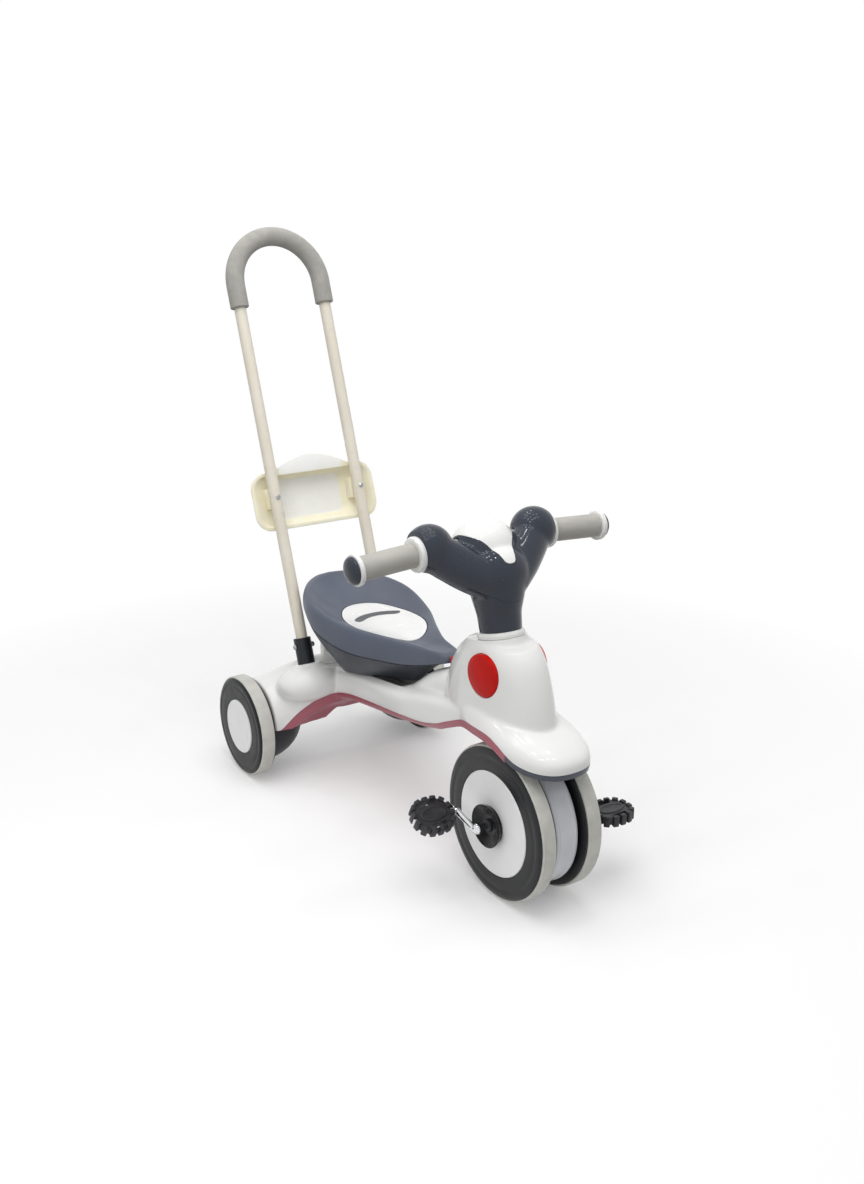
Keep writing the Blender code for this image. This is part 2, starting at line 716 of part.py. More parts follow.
def make_body_trim(root, paint):
    reach = LENS_RADIUS
    profile = ((-LENS_DEPTH, 0), (-LENS_DEPTH, reach), (0.0005, reach), (0.0025, reach * 0.83),
               (0.0040, reach * 0.48), (0.0045, 0))
    for side, sign in SIDES:
        place, turn = lens_place(sign)
        piece(f"lens_{side}", turned(profile, 28), paint["red"], root, place, turn)
    piece("seat_hinge_pin", hinge_rod(0), paint["steel"], root, (0, HINGE_Y, HINGE_Z))
    end = REAR_OUTER - DISC_THICK - 0.002
    piece("rear_axle", rod(-end, end, REAR_AXLE_RADIUS, 16), paint["steel"], root,
          (0, WHEELBASE, REAR_RADIUS))


def make_button(root, paint):
    nose = SEAT_OUTLINE[0][1]
    shape = box((-BUTTON_HALF, 0, BUTTON_LOW), (BUTTON_HALF, nose - NOSE_GAP - BUTTON_FRONT, BUTTON_HIGH))
    made = piece("latch_button", shape, paint["red"], root, (0, BUTTON_FRONT, 0))
    round_off = made.modifiers.new("round edges", "BEVEL")
    round_off.width = BUTTON_BEVEL
    round_off.segments = 1


def seat_outline():
    # Whole seat outline in plan, starting at the nose.
    half = smooth_line([Vector((x, y, 0)) for x, y in SEAT_OUTLINE], 2)
    right = [Vector((-point.x, point.y, 0)) for point in reversed(half[1:-1])]
    return half + right


def seat_reach(outline, x, y):
    # Share of the way from the seat's centre to its outline, in plan.
    angle = math.atan2(x, SEAT_CENTRE - y)
    limits = sorted((math.atan2(p.x, SEAT_CENTRE - p.y), math.hypot(p.x, p.y - SEAT_CENTRE)) for p in outline)
    first, last = limits[0], limits[-1]
    limits = [(last[0] - 2 * math.pi, last[1]), *limits, (first[0] + 2 * math.pi, first[1])]
    return math.hypot(x, y - SEAT_CENTRE) / interpolate(limits, angle)


def seat_height(outline, x, y):
    # A nearly level floor that curls up into the rim.
    share = min(seat_reach(outline, x, y), RIM_CREST) / RIM_CREST
    rim = interpolate(RIM_LINE, SEAT_CENTRE + (y - SEAT_CENTRE) / max(share, 0.3))
    return DISH_FLOOR + (rim - DISH_FLOOR) * share ** DISH_POWER


def seat_ring(outline, share, height):
    ring = []
    for point in outline:
        x = point.x * share
        y = SEAT_CENTRE + (point.y - SEAT_CENTRE) * share
        ring.append((x, y, height(point, x, y)))
    return ring


def make_seat_top(seat, outline, finish, insert_shape):
    def seam(point, lift):
        return interpolate(SEAM_LINE, point.y) + lift

    def crown(point, part):
        low = interpolate(SEAM_LINE, point.y)
        return low + (interpolate(RIM_LINE, point.y) - low) * part

    rings = [seat_ring(outline, 0.975, lambda p, x, y: seam(p, GAP)),
             seat_ring(outline, 1.0, lambda p, x, y: crown(p, 0.16)),
             seat_ring(outline, 1.0, lambda p, x, y: crown(p, 0.50)),
             seat_ring(outline, 0.975, lambda p, x, y: crown(p, 0.86)),
             seat_ring(outline, RIM_CREST, lambda p, x, y: crown(p, 1.0))]
    for share in (0.78, 0.62, 0.45, 0.2):
        rings.append(seat_ring(outline, share, lambda p, x, y: seat_height(outline, x, y)))
    top_middle = seat_height(outline, 0, SEAT_CENTRE)
    rings.append([(0, SEAT_CENTRE, top_middle)])
    under = [[(0, SEAT_CENTRE, top_middle - SEAT_WALL)]]
    for share in (0.2, 0.45, 0.62, 0.78):
        under.append(seat_ring(outline, share, lambda p, x, y: seat_height(outline, x, y) - SEAT_WALL))
    under.append(seat_ring(outline, 0.90, lambda p, x, y: crown(p, 0.75)))
    under.append(seat_ring(outline, 0.93, lambda p, x, y: seam(p, GAP)))
    made = piece("seat_top", skin(rings + under, closed=True), finish, seat)
    combine(made, cutter("cut_seat_insert", insert_shape, seat))
    return made


def insert_shape(outline, grow, low, high):
    # Oval plate that follows the dish, between two heights over the seat's top.
    steps = 24

    def level(share, offset):
        ring = []
        for i in range(steps):
            a = 2 * math.pi * (i + 0.5) / steps
            x = (INSERT_WIDTH / 2 * share + (grow if share == 1 else 0)) * math.sin(a)
            y = INSERT_Y + (INSERT_LENGTH / 2 * share + (grow if share == 1 else 0)) * math.cos(a)
            ring.append((x, y, seat_height(outline, x, y) + offset))
        return ring

    middle = seat_height(outline, 0, INSERT_Y)
    shares = (0.4, 0.7, 1.0)
    rings = [level(share, low) for share in shares] + [level(share, high) for share in reversed(shares)]
    return split_quads(skin([[(0, INSERT_Y, middle + low)]] + rings + [[(0, INSERT_Y, middle + high)]]))


def pan_height(point, share):
    # The side walls fall early and the nose falls late.
    towards = max((SEAT_CENTRE - point.y) / (SEAT_CENTRE - SEAT_OUTLINE[0][1]), 0)
    power = 0.80 + 0.70 * towards ** 2
    seam = interpolate(SEAM_LINE, point.y)
    foot = deck(SEAT_CENTRE + (point.y - SEAT_CENTRE) * PAN_FOOT) + PAN_CLEAR
    return seam + (foot - seam) * share ** power


def pan_rings(outline, inset, lift, shares):
    rings = []
    for share in shares:
        reach = 1 - (1 - PAN_FOOT) * share - inset
        rings.append(seat_ring(outline, reach, lambda p, x, y, share=share: pan_height(p, share) + lift))
    return rings


def make_seat_pan(seat, outline, finish):
    base = deck(SEAT_CENTRE) + PAN_CLEAR
    outer = pan_rings(outline, PAN_INSET, 0, PAN_SHARES)
    inner = pan_rings(outline, PAN_INSET + PAN_FLOOR_INSET, SEAT_WALL, PAN_SHARES[:0:-1])
    lip = seat_ring(outline, 0.94, lambda p, x, y: interpolate(SEAM_LINE, p.y))
    foot = [(0, SEAT_CENTRE, base)]
    floor = [(0, SEAT_CENTRE, base + SEAT_WALL)]
    made = piece("seat_pan", skin(outer + [foot, floor] + inner + [lip], closed=True), finish, seat)
    for side, sign in SIDES:
        peg = rod(-0.006, 0.003, SEAT_PEG_RADIUS, 12)
        combine(made, cutter(f"seat_peg_{side}", peg, seat, peg_place(sign), (0, -math.pi / 2, 0)), "UNION")
        xs = sorted(sign * (HINGE_POST_HALF + GAP + width) for width in (0, HINGE_EAR_WIDTH))
        ear = box((xs[0], HINGE_Y - HINGE_EAR_FRONT, HINGE_Z - HINGE_BLOCK),
                  (xs[1], HINGE_Y + HINGE_BLOCK, HINGE_Z + HINGE_BLOCK))
        combine(made, cutter(f"seat_ear_{side}", ear, seat), "UNION")
    combine(made, cutter("cut_seat_ears", hinge_rod(RUNNING), seat, (0, HINGE_Y, HINGE_Z)))
    return made


def pan_clearance(outline):
    # Room for the seat pan in the body.
    rings = pan_rings(outline, PAN_INSET - 0.010, -PAN_CLEAR / 2, PAN_SHARES)
    lid = seat_ring(outline, 1.02, lambda p, x, y: interpolate(SEAM_LINE, p.y) + 0.05)
    return skin([lid] + rings)


def make_seat(root, paint):
    lift = empty("seat_hinge_axis", root, (0, HINGE_Y, HINGE_Z))
    seat = empty("seat_lift", lift, (0, -HINGE_Y, -HINGE_Z))
    outline = seat_outline()
    make_seat_pan(seat, outline, paint["dark_slate"])
    recess = insert_shape(outline, GAP, -INSERT_THICK - GAP, 0.02)
    make_seat_top(seat, outline, paint["slate"], recess)
    plate = insert_shape(outline, 0, -INSERT_THICK, INSERT_PROUD)
    piece("seat_insert", plate, paint["plate"], seat)


def push_path(low, count):
    # Centre line of the U from one low end over the arc to the other.
    straight_top = ARC_TOP - PUSH_HALF
    points = [leaned(-PUSH_HALF, 0, low)]
    for i in range(count + 1):
        a = math.pi * i / count
        points.append(leaned(-PUSH_HALF * math.cos(a), 0, straight_top + PUSH_HALF * math.sin(a)))
    points.append(leaned(PUSH_HALF, 0, low))
    return points


def make_push_bar(root, paint):
    normal = Vector((0, math.cos(PUSH_LEAN), -math.sin(PUSH_LEAN)))
    bore = PUSH_TUBE_RADIUS - PUSH_TUBE_WALL
    tube = piece("push_bar", swept(push_path(TUBE_FOOT, 10), normal, PUSH_TUBE_RADIUS, PUSH_STEPS, bore),
                 paint["cream"], root)
    foam = swept(push_path(FOAM_LOW, 10), normal, FOAM_RADIUS, PUSH_STEPS, PUSH_TUBE_RADIUS + GAP)
    piece("foam_grip", foam, paint["foam"], root)
    for side, sign in SIDES:
        path = [leaned(sign * PUSH_HALF, 0, SOCKET_TOP - SOCKET_LENGTH),
                leaned(sign * PUSH_HALF, 0, SOCKET_TOP)]
        socket = piece(f"socket_{side}", swept(path, Vector((1, 0, 0)), SOCKET_RADIUS, 16,
                                               PUSH_TUBE_RADIUS + GAP), paint["dark"], root)
        place = leaned(sign * PUSH_HALF, 0, SOCKET_BOLT)
        turn = (0, 0, 0 if sign > 0 else math.pi)
        hole = cutter(f"cut_bolt_{side}", rod(-0.03, 0.03, BOLT_RADIUS + GAP, 12), root, place, turn)
        combine(socket, hole)
        combine(tube, hole)
        edge = SOCKET_RADIUS + GAP
        bolt = turned(((-edge - 0.005, 0), (-edge - 0.005, BOLT_RADIUS), (edge, BOLT_RADIUS),
                       (edge, BOLT_HEAD_RADIUS), (edge + 0.0022, BOLT_HEAD_RADIUS - 0.0005),
                       (edge + 0.0030, 0.0020), (edge + 0.0030, 0)), 12)
        piece(f"socket_bolt_{side}", bolt, paint["steel"], root, place, turn)
        nut = washer(-edge - NUT_WIDTH, -edge, BOLT_RADIUS + GAP, BOLT_HEAD_RADIUS, 6)
        piece(f"socket_nut_{side}", nut, paint["steel"], root, place, turn)
        front = PUSH_TUBE_RADIUS + GAP
        screw = turned(((-front - 0.0025, 0), (-front - 0.0020, 0.0025), (-front, SCREW_HEAD_RADIUS),
                        (-front, SCREW_RADIUS), (front + SCREW_REACH, SCREW_RADIUS),
                        (front + SCREW_REACH, 0)), 12)
        aim = screw_aim()
        screw_place = leaned(sign * PUSH_HALF, 0, 0)
        piece(f"backrest_screw_{side}", screw, paint["steel"], root, screw_place, aim)
        screw_hole = rod(-0.03, front + SCREW_REACH + 0.0005, SCREW_RADIUS + GAP, 12)
        clear = cutter(f"cut_screw_{side}", screw_hole, root, screw_place, aim)
        combine(tube, clear)


def screw_aim():
    # Turns local X into the direction straight behind the leaning plane.
    behind = Vector((0, math.cos(PUSH_LEAN), -math.sin(PUSH_LEAN)))
    return behind.to_track_quat("X", "Z").to_euler()


def rounded_rect(half, low, high, corner, steps, arch=0.0):
    # Rounded rectangle in (x, along), with an arch added to its top edge.
    ring = []
    for quarter, (cx, cs) in enumerate(((1, 1), (-1, 1), (-1, -1), (1, -1))):
        for k in range(steps + 1):
            a = math.pi / 2 * (quarter + k / steps)
            x = cx * (half - corner) + corner * math.cos(a)
            s = (high - corner if cs > 0 else low + corner) + corner * math.sin(a)
            ring.append((x, s))
        if quarter == 0:
            for part in ARCH_SHARES:
                x = part * (half - corner)
                share = min(abs(x) / BACKREST_ARCH_HALF, 1)
                ring.append((x, high + arch * math.cos(share * math.pi / 2)))
    return ring


def make_backrest(root, paint):
    start = PUSH_TUBE_RADIUS + GAP

    def level(ring, behind):
        return [leaned(x, behind, along) for x, along in ring]

    outer = rounded_rect(BACKREST_HALF, BACKREST_LOW, BACKREST_HIGH, BACKREST_CORNER, 4, BACKREST_ARCH)
    lip = rounded_rect(BACKREST_HALF - BACKREST_RIM, BACKREST_LOW + BACKREST_RIM,
                       BACKREST_HIGH - BACKREST_RIM, BACKREST_CORNER - BACKREST_RIM, 4)
    panel = rounded_rect(PANEL_HALF, PANEL_LOW, PANEL_HIGH, PANEL_CORNER, 4)
    wall = BACKREST_WALL
    back_lip = rounded_rect(BACKREST_HALF - BACKREST_RIM + wall, BACKREST_LOW + BACKREST_RIM - wall,
                            BACKREST_HIGH - BACKREST_RIM + wall, BACKREST_CORNER - BACKREST_RIM + wall, 4)
    rings = [level(panel, start + BACKREST_DEPTH), level(lip, start), level(outer, start),
             level(outer, start + wall), level(back_lip, start + wall),
             level(panel, start + BACKREST_DEPTH + wall)]
    made = piece("backrest", skin(rings), paint["clear_cream"], root)
    for side, sign in SIDES:
        pad = bmesh.new()
        bmesh.ops.create_cube(pad, size=1)
        bmesh.ops.scale(pad, vec=PAD_SIZE, verts=pad.verts)
        bmesh.ops.rotate(pad, cent=(0, 0, 0), matrix=Matrix.Rotation(-PUSH_LEAN, 3, "X"), verts=pad.verts)
        place = leaned(sign * PUSH_HALF, start + PAD_SIZE[1] / 2, 0)
        shape = cutter(f"backrest_pad_{side}", pad, root, place)
        combine(made, shape, "UNION")
        hole = rod(0, start + SCREW_REACH + 0.0005, SCREW_RADIUS + GAP, 12)
        combine(made, cutter(f"cut_pad_{side}", hole, root, leaned(sign * PUSH_HALF, 0, 0), screw_aim()))


def head_form(name, finish, steer):
    # Handlebar head: stem, two swept arms, a centre mass and a ball at each bar.
    sections = ((STEM_FOOT - 0.004, STEM_RADIUS, STEM_RADIUS, 0), *STEM_SECTIONS)
    stem = skin([oval_ring(shift, half, deep, height, steps=24) for height, half, deep, shift in sections])
    shapes = [stem]
    for _, sign in SIDES:
        near, far = Vector((sign * ARM_START[0], *ARM_START[1:])), Vector((sign * BALL_X, BAR_Y, BAR_Z))
        run = (far - near).normalized()
        side = run.cross(Vector((1, 0, 0))).normalized()
        up = side.cross(run)
        rings = []
        for share, radius in ARM_RADII:
            centre = near.lerp(far, share)
            rings.append([centre + radius * (math.cos(a) * side + math.sin(a) * up)
                          for a in (2 * math.pi * k / 20 for k in range(20))])
        shapes.append(skin(rings))
        shapes.append(ellipsoid(near, (ARM_START_RADIUS,) * 3))
        shapes.append(ellipsoid((sign * BALL_X, BAR_Y, BAR_Z + BALL_LIFT), (BALL_RADIUS,) * 3))
    shapes += [ellipsoid(centre, radii) for centre, radii in HEAD_MASSES]
    form = bmesh.new()
    for shape in shapes:
        add_shape(form, shape)
    made = piece(name, form, finish, steer)
    soften(made, HEAD_VOXEL, 3, HEAD_SHARE)
    return made


def ellipsoid(centre, radii, steps=24):
    shape = bmesh.new()
    bmesh.ops.create_uvsphere(shape, u_segments=steps, v_segments=steps // 2, radius=1)
    bmesh.ops.scale(shape, vec=radii, verts=shape.verts)
    bmesh.ops.translate(shape, vec=centre, verts=shape.verts)
    return shape


def panel_block(shrink, deep, high):
    # Drop-shaped prism square to the head's sloping front.
    square = Vector((0, PANEL_RUN.z, -PANEL_RUN.y))
    start = Vector((0, *PANEL_TOP))
    half = [(t + (shrink if t < 0.01 else 0) - (shrink if t > 0.1 else 0), w - shrink)
            for t, w in PANEL_OUTLINE]
    outline = [(w, t) for t, w in half] + [(-w, t) for t, w in reversed(half)]
    rings = []
    for level in (deep, high):
        rings.append([start + Vector((x, 0, 0)) + PANEL_RUN * t + square * level for x, t in outline])
    return skin(rings)


def make_head(steer, paint):
    def seam(x, y):
        return min(SEAM_LOW + SEAM_RISE * max(abs(x) - SEAM_FLAT, 0), SEAM_HIGH)

    crest = SEAM_FLAT + (SEAM_HIGH - SEAM_LOW) / SEAM_RISE
    xs, ys = (-0.14, -crest, -SEAM_FLAT, SEAM_FLAT, crest, 0.14), (-0.08, 0.10)
    lower_block = cutter("cut_head_lower", height_block(xs, ys, lambda x, y: STEM_FOOT, seam), steer)
    upper_block = cutter("cut_head_upper", height_block(
        xs, ys, lambda x, y: seam(x, y) + GAP, lambda x, y: 0.6), steer)
    lower = head_form("head_lower", paint["slate_gloss"], steer)
    combine(lower, lower_block, "INTERSECT")
    column_top = STEM_FOOT + COLUMN_IN_HEAD
    column_hole = rod(0, column_top + GAP, COLUMN_RADIUS + GAP, 20)
    combine(lower, cutter("cut_head_column", column_hole, steer, turn=(0, -math.pi / 2, 0)))
    upper = head_form("head_upper", paint["slate_gloss"], steer)
    combine(upper, upper_block, "INTERSECT")
    bar_hole = cutter("cut_head_bar", bar_shape(BAR_RADIUS + GAP, 0.13), steer)
    combine(upper, bar_hole)
    for side, sign in SIDES:
        turn = (0, BAR_DROOP if sign > 0 else math.pi - BAR_DROOP, 0)
        end = rod(COLLAR_START - GAP - BAR_BEND_X, 0.1, 0.05, 20)
        combine(upper, cutter(f"cut_head_end_{side}", end, steer, bar_point(BAR_BEND_X, sign), turn))
    combine(upper, cutter("cut_panel", panel_block(0, PANEL_DEEP, 0.06), steer))
    panel = head_form("head_panel", paint["white"], steer)
    combine(panel, cutter("cut_panel_form", panel_block(GAP, PANEL_DEEP + GAP, 0.06), steer), "INTERSECT")
    combine(panel, bar_hole)
    piece("steering_column", washer(COLUMN_FOOT, column_top, COLUMN_RADIUS - COLUMN_WALL, COLUMN_RADIUS, 20),
          paint["steel"], steer, turn=(0, -math.pi / 2, 0))


def bar_point(x, sign):
    beyond = max(x - BAR_BEND_X, 0)
    return Vector((sign * (min(x, BAR_BEND_X) + beyond * math.cos(BAR_DROOP)), BAR_Y,
                   BAR_Z - beyond * math.sin(BAR_DROOP)))


def bar_shape(radius, reach):
    path = [bar_point(x, -1) for x in (reach, BAR_BEND_X)] + [bar_point(x, 1) for x in (BAR_BEND_X, reach)]
    return swept(path, Vector((0, 1, 0)), radius, 16)


def make_handlebar(steer, paint):
    grip_start = COLLAR_START + COLLAR_WIDTH + GAP
    flange_start = GRIP_END + GAP
    cap_start = flange_start + FLANGE_WIDTH + GAP
    bar_end = cap_start - GAP
    piece("handlebar_tube", bar_shape(BAR_RADIUS, bar_end), paint["steel"], steer)
    bore = BAR_RADIUS + GAP
    for side, sign in SIDES:
        droop = BAR_DROOP if sign > 0 else math.pi - BAR_DROOP
        turn = (0, droop, 0)
        place = bar_point(BAR_BEND_X, sign)

        def along(profile, name, finish, steps=20):
            moved = tuple((x - BAR_BEND_X, radius) for x, radius in profile)
            piece(f"{name}_{side}", turned(moved, steps), paint[finish], steer, place, turn)

        collar_end = COLLAR_START + COLLAR_WIDTH
        along(((COLLAR_START, bore), (COLLAR_START, COLLAR_RADIUS), (collar_end - 0.002, COLLAR_RADIUS),
               (collar_end, COLLAR_RADIUS - 0.003), (collar_end, bore)), "collar", "white")
        along(((grip_start, bore), (grip_start, GRIP_RADIUS), (GRIP_END, GRIP_RADIUS), (GRIP_END, bore)),
              "grip", "grip")
        flange_end = flange_start + FLANGE_WIDTH
        along(((flange_start, bore), (flange_start, FLANGE_RADIUS - 0.002),
               (flange_start + 0.002, FLANGE_RADIUS), (flange_end - 0.001, FLANGE_RADIUS),
               (flange_end, FLANGE_RADIUS - 0.002), (flange_end, bore)),
              "grip_flange", "white")
        along(((cap_start, 0), (cap_start, END_CAP_RADIUS),
               (cap_start + END_CAP_WIDTH * 0.35, END_CAP_RADIUS * 0.95),
               (cap_start + END_CAP_WIDTH * 0.75, END_CAP_RADIUS * 0.65), (cap_start + END_CAP_WIDTH, 0)),
              "end_cap", "slate_gloss")


def make_fork(steer, paint):
    half = FRONT_OUTER - FRONT_TYRE - WHEEL_SIDE_GAP
    bore = FRONT_AXLE_RADIUS + RUNNING
    drum = turned(((-half, bore), (-half, DRUM_RADIUS - 0.006), (-half + 0.003, DRUM_RADIUS),
                   (half - 0.003, DRUM_RADIUS), (half, DRUM_RADIUS - 0.006), (half, bore)), FRONT_STEPS)
    fork = piece("fork_housing", drum, paint["light_grey"], steer)
    boss = rod(COLUMN_FOOT - BOSS_BELOW, BOSS_TOP, BOSS_RADIUS, 20)
    combine(fork, cutter("fork_boss", boss, steer, turn=(0, -math.pi / 2, 0)), "UNION")
    hole = rod(COLUMN_FOOT - GAP, BOSS_TOP + 0.02, COLUMN_RADIUS + GAP, 20)
    combine(fork, cutter("cut_fork_column", hole, steer, turn=(0, -math.pi / 2, 0)))


def tyre_profiles(width, radius, disc, bore, cover):
    # Core and tread of one wheel from its inner face at x = 0 outwards.
    seat = radius - TREAD_DEPTH
    edge = SIDEWALL_EDGE
    core = [(0, bore), (0, seat + 0.004), (edge, radius - 0.003), (edge, seat), (width - edge, seat),
            (width - edge, radius - 0.003), (width - 0.001, seat + 0.004), (width, (seat + disc) / 2 + 0.004),
            (width - 0.0005, disc + 0.0008), (width - cover, disc + 0.0008), (width - cover, bore)]
    low, high = edge + GAP, width - edge - GAP
    tread = [(low, seat + GAP), (low, radius - 0.002), (low + 0.002, radius), (high - 0.002, radius),
             (high, radius - 0.002), (high, seat + GAP)]
    return core, tread


def placed(profile, start, sign):
    return tuple((sign * (start + x), radius) for x, radius in profile)


def make_front_wheels(hub, paint):
    inner = FRONT_OUTER - FRONT_TYRE
    bore = FRONT_AXLE_RADIUS + GAP
    core, tread = tyre_profiles(FRONT_TYRE, FRONT_RADIUS, FRONT_DISC_RADIUS, bore, DISC_THICK)
    flat = across_flats(1, FRONT_STEPS)
    tread = [(x, radius * flat if radius == FRONT_RADIUS else radius) for x, radius in tread]
    disc_start = FRONT_TYRE - DISC_THICK + GAP
    cone = FRONT_OUTER + HUB_CONE_HEIGHT
    for side, sign in SIDES:
        piece(f"front_core_{side}", turned(placed(core, inner, sign), FRONT_STEPS), paint["black"], hub)
        piece(f"front_tread_{side}", turned(placed(tread, inner, sign), FRONT_STEPS), paint["tread"], hub)
        disc = [(disc_start, bore), (disc_start, FRONT_DISC_RADIUS), (FRONT_TYRE, FRONT_DISC_RADIUS - 0.001),
                (FRONT_TYRE + 0.0010, FRONT_DISC_RADIUS * 0.6), (FRONT_TYRE + 0.0012, bore)]
        piece(f"front_disc_{side}", turned(placed(disc, inner, sign), FRONT_STEPS), paint["disc"], hub)
        base = FRONT_OUTER + 0.0012 + GAP
        cup = [(base, 0.0095), (base, HUB_CONE_RADIUS - 0.004), (cone - 0.002, HUB_CONE_RADIUS),
               (cone, HUB_CONE_RADIUS - 0.001), (cone - 0.006, 0.016), (cone - 0.006, 0.0095)]
        piece(f"hub_cone_{side}", turned(placed(cup, 0, sign), 28), paint["black_satin"], hub)
    end = FRONT_OUTER + 0.0005
    piece("front_axle", rod(-end, end, FRONT_AXLE_RADIUS, 16), paint["steel"], hub)


def make_crank(hub, side, sign, paint):
    # Bent rod: out of the hub, along the arm, then out as the pedal pin.
    reach = -sign * CRANK_LENGTH
    start = FRONT_OUTER + 0.0012
    corner = CRANK_CORNER
    end = CRANK_PLANE + corner + PEDAL_WIDTH - 2 * PEDAL_PIN_CLEAR
    turn = math.copysign(corner, reach)
    points = [(start, 0), (CRANK_PLANE - corner, 0), (CRANK_PLANE - 0.3 * corner, 0.3 * turn),
              (CRANK_PLANE, turn), (CRANK_PLANE, reach - turn),
              (CRANK_PLANE + 0.3 * corner, reach - 0.3 * turn),
              (CRANK_PLANE + corner, reach), (end, reach)]
    path = [Vector((sign * x, y, 0)) for x, y in points]
    made = piece(f"crank_{side}", swept(path, Vector((0, 0, 1)), CRANK_ROD, 12), paint["chrome"], hub)
    knob = ellipsoid((sign * (CRANK_PLANE - 0.004), 0, 0), (KNOB_RADIUS,) * 3, 12)
    combine(made, cutter(f"crank_knob_{side}", knob, hub), "UNION")
    collar = rod(CRANK_PLANE + corner - WASHER_THICK, CRANK_PLANE + corner, WASHER_RADIUS, 16)
    turn_out = (0, 0, 0 if sign > 0 else math.pi)
    ring = cutter(f"crank_washer_{side}", collar, hub, (0, reach, 0), turn_out)
    combine(made, ring, "UNION")


def make_pedal(hub, side, sign, paint):
    place = empty(f"pedal_spin_{side}", hub, (0, -sign * CRANK_LENGTH, 0), (PEDAL_TILT[side], 0, 0))
    start = CRANK_PLANE + CRANK_CORNER + GAP
    middle = start + PEDAL_WIDTH / 2
    outline = []
    for i in range(PEDAL_TEETH * 4):
        a = 2 * math.pi * (i + 0.5) / (PEDAL_TEETH * 4)
        tooth = 1.0 if i % 4 in (0, 1, 2) else 0.90
        c, s = math.cos(a), math.sin(a)
        outline.append((sign * middle + PEDAL_WIDTH / 2 * tooth * math.copysign(abs(c) ** PEDAL_ROUNDNESS, c),
                        PEDAL_DEPTH / 2 * tooth * math.copysign(abs(s) ** PEDAL_ROUNDNESS, s)))
    rings = [[(x, y, z) for x, y in outline] for z in (-PEDAL_HEIGHT / 2, PEDAL_HEIGHT / 2)]
    made = piece(f"pedal_{side}", skin(rings), paint["pedal"], place)
    pad_top = PEDAL_HEIGHT / 2 + PEDAL_PAD_PROUD
    pad = [oval_ring(0, *PEDAL_PAD_HALF, z, steps=16) for z in (-pad_top, pad_top)]
    combine(made, cutter(f"pedal_pad_{side}", skin(pad), place, (sign * middle, 0, 0)), "UNION")
    for index, shift in enumerate((-1, 1)):
        along, across = PEDAL_SLOT_HALF
        slot = box((sign * middle - along, shift * PEDAL_SLOT_Y - across, -0.02),
                   (sign * middle + along, shift * PEDAL_SLOT_Y + across, 0.02))
        combine(made, cutter(f"cut_pedal_slot_{side}_{index}", slot, place))
    hole = rod(0.05, start + PEDAL_WIDTH - PEDAL_PIN_CLEAR, CRANK_ROD + RUNNING, 16)
    turn = (0, 0, 0 if sign > 0 else math.pi)
    combine(made, cutter(f"cut_pedal_pin_{side}", hole, place, (0, 0, 0), turn))


def make_rear_wheels(root, paint):
    inner = REAR_OUTER - REAR_TYRE
    bore = REAR_AXLE_RADIUS + RUNNING
    core, tread = tyre_profiles(REAR_TYRE, REAR_RADIUS, REAR_CAP_RADIUS, bore, DISC_THICK)
    flat = across_flats(1, REAR_STEPS)
    tread = [(x, radius * flat if radius == REAR_RADIUS else radius) for x, radius in tread]
    for side, sign in SIDES:
        hub = empty(f"rear_spin_{side}", root, (0, WHEELBASE, REAR_RADIUS))
        piece(f"rear_core_{side}", turned(placed(core, inner, sign), REAR_STEPS), paint["black"], hub)
        piece(f"rear_tread_{side}", turned(placed(tread, inner, sign), REAR_STEPS), paint["tread"], hub)
        start = REAR_TYRE - DISC_THICK + GAP
        cap = [(start, 0), (start, REAR_CAP_RADIUS), (REAR_TYRE, REAR_CAP_RADIUS - 0.001),
               (REAR_TYRE + 0.0015, REAR_CAP_RADIUS * 0.6), (REAR_TYRE + 0.002, 0)]
        piece(f"rear_cap_{side}", turned(placed(cap, inner, sign), REAR_STEPS), paint["disc"], hub)


def make_paint():
    return {
        "white": material("gloss_white", "#EDEDEB", 0.18),
        "rose": material("dusty_rose", "#A4607A", 0.35),
        "slate": material("slate", "#565C69", 0.42),
        "dark_slate": material("dark_slate", "#454952", 0.45),
        "slate_gloss": material("slate_gloss", "#4A505C", 0.18),
        "dark": material("dark_grey", "#30333B", 0.45),
        "black": material("sidewall_black", "#2E2F31", 0.38),
        "black_satin": material("hub_black", "#1F2023", 0.35),
        "tread": material("tread_grey", "#BDBCB6", 0.7),
        "disc": material("disc_white", "#DDDEDD", 0.4),
        "light_grey": material("drum_grey", "#C4C5CA", 0.35),
        "red": material("signal_red", "#C41A14", 0.15),
        "plate": material("seat_plate_white", "#E6E6E4", 0.3),
        "cream": material("cream_enamel", "#E6E0D3", 0.3),
        "clear_cream": material("cream_moulding", "#EDE8D6", 0.35),
        "foam": material("foam_grey", "#A5A39D", 0.85),
        "grip": material("grip_grey", "#B1AFA9", 0.75),
        "pedal": material("pedal_black", "#26262B", 0.55),
        "steel": material("zinc_steel", "#C0C2C4", 0.3, 1.0),
        "chrome": material("chrome", "#DADCDD", 0.08, 1.0),
    }


def main():
    clear_scene()
    paint = make_paint()
    root = empty("tricycle", None, (0, FRONT_AXLE_Y, 0))
    steer = empty("steering_axis", root, (0, 0, FRONT_RADIUS), (-RAKE, 0, 0))
    hub = empty("front_spin", root, (0, 0, FRONT_RADIUS), (CRANK_ANGLE, 0, 0))
    parts = make_body_cutters(root)
    make_body(root, steer, parts, paint)
    make_lower_body(root, steer, parts, paint)
    make_rear_covers(root, parts, paint)
    make_body_trim(root, paint)
    make_button(root, paint)
    make_seat(root, paint)
    make_push_bar(root, paint)
    make_backrest(root, paint)
    make_fork(steer, paint)
    make_head(steer, paint)
    make_handlebar(steer, paint)
    make_front_wheels(hub, paint)
    for side, sign in SIDES:
        make_crank(hub, side, sign, paint)
        make_pedal(hub, side, sign, paint)
    make_rear_wheels(root, paint)


main()
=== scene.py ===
import math

import bpy
from mathutils import Matrix, Vector


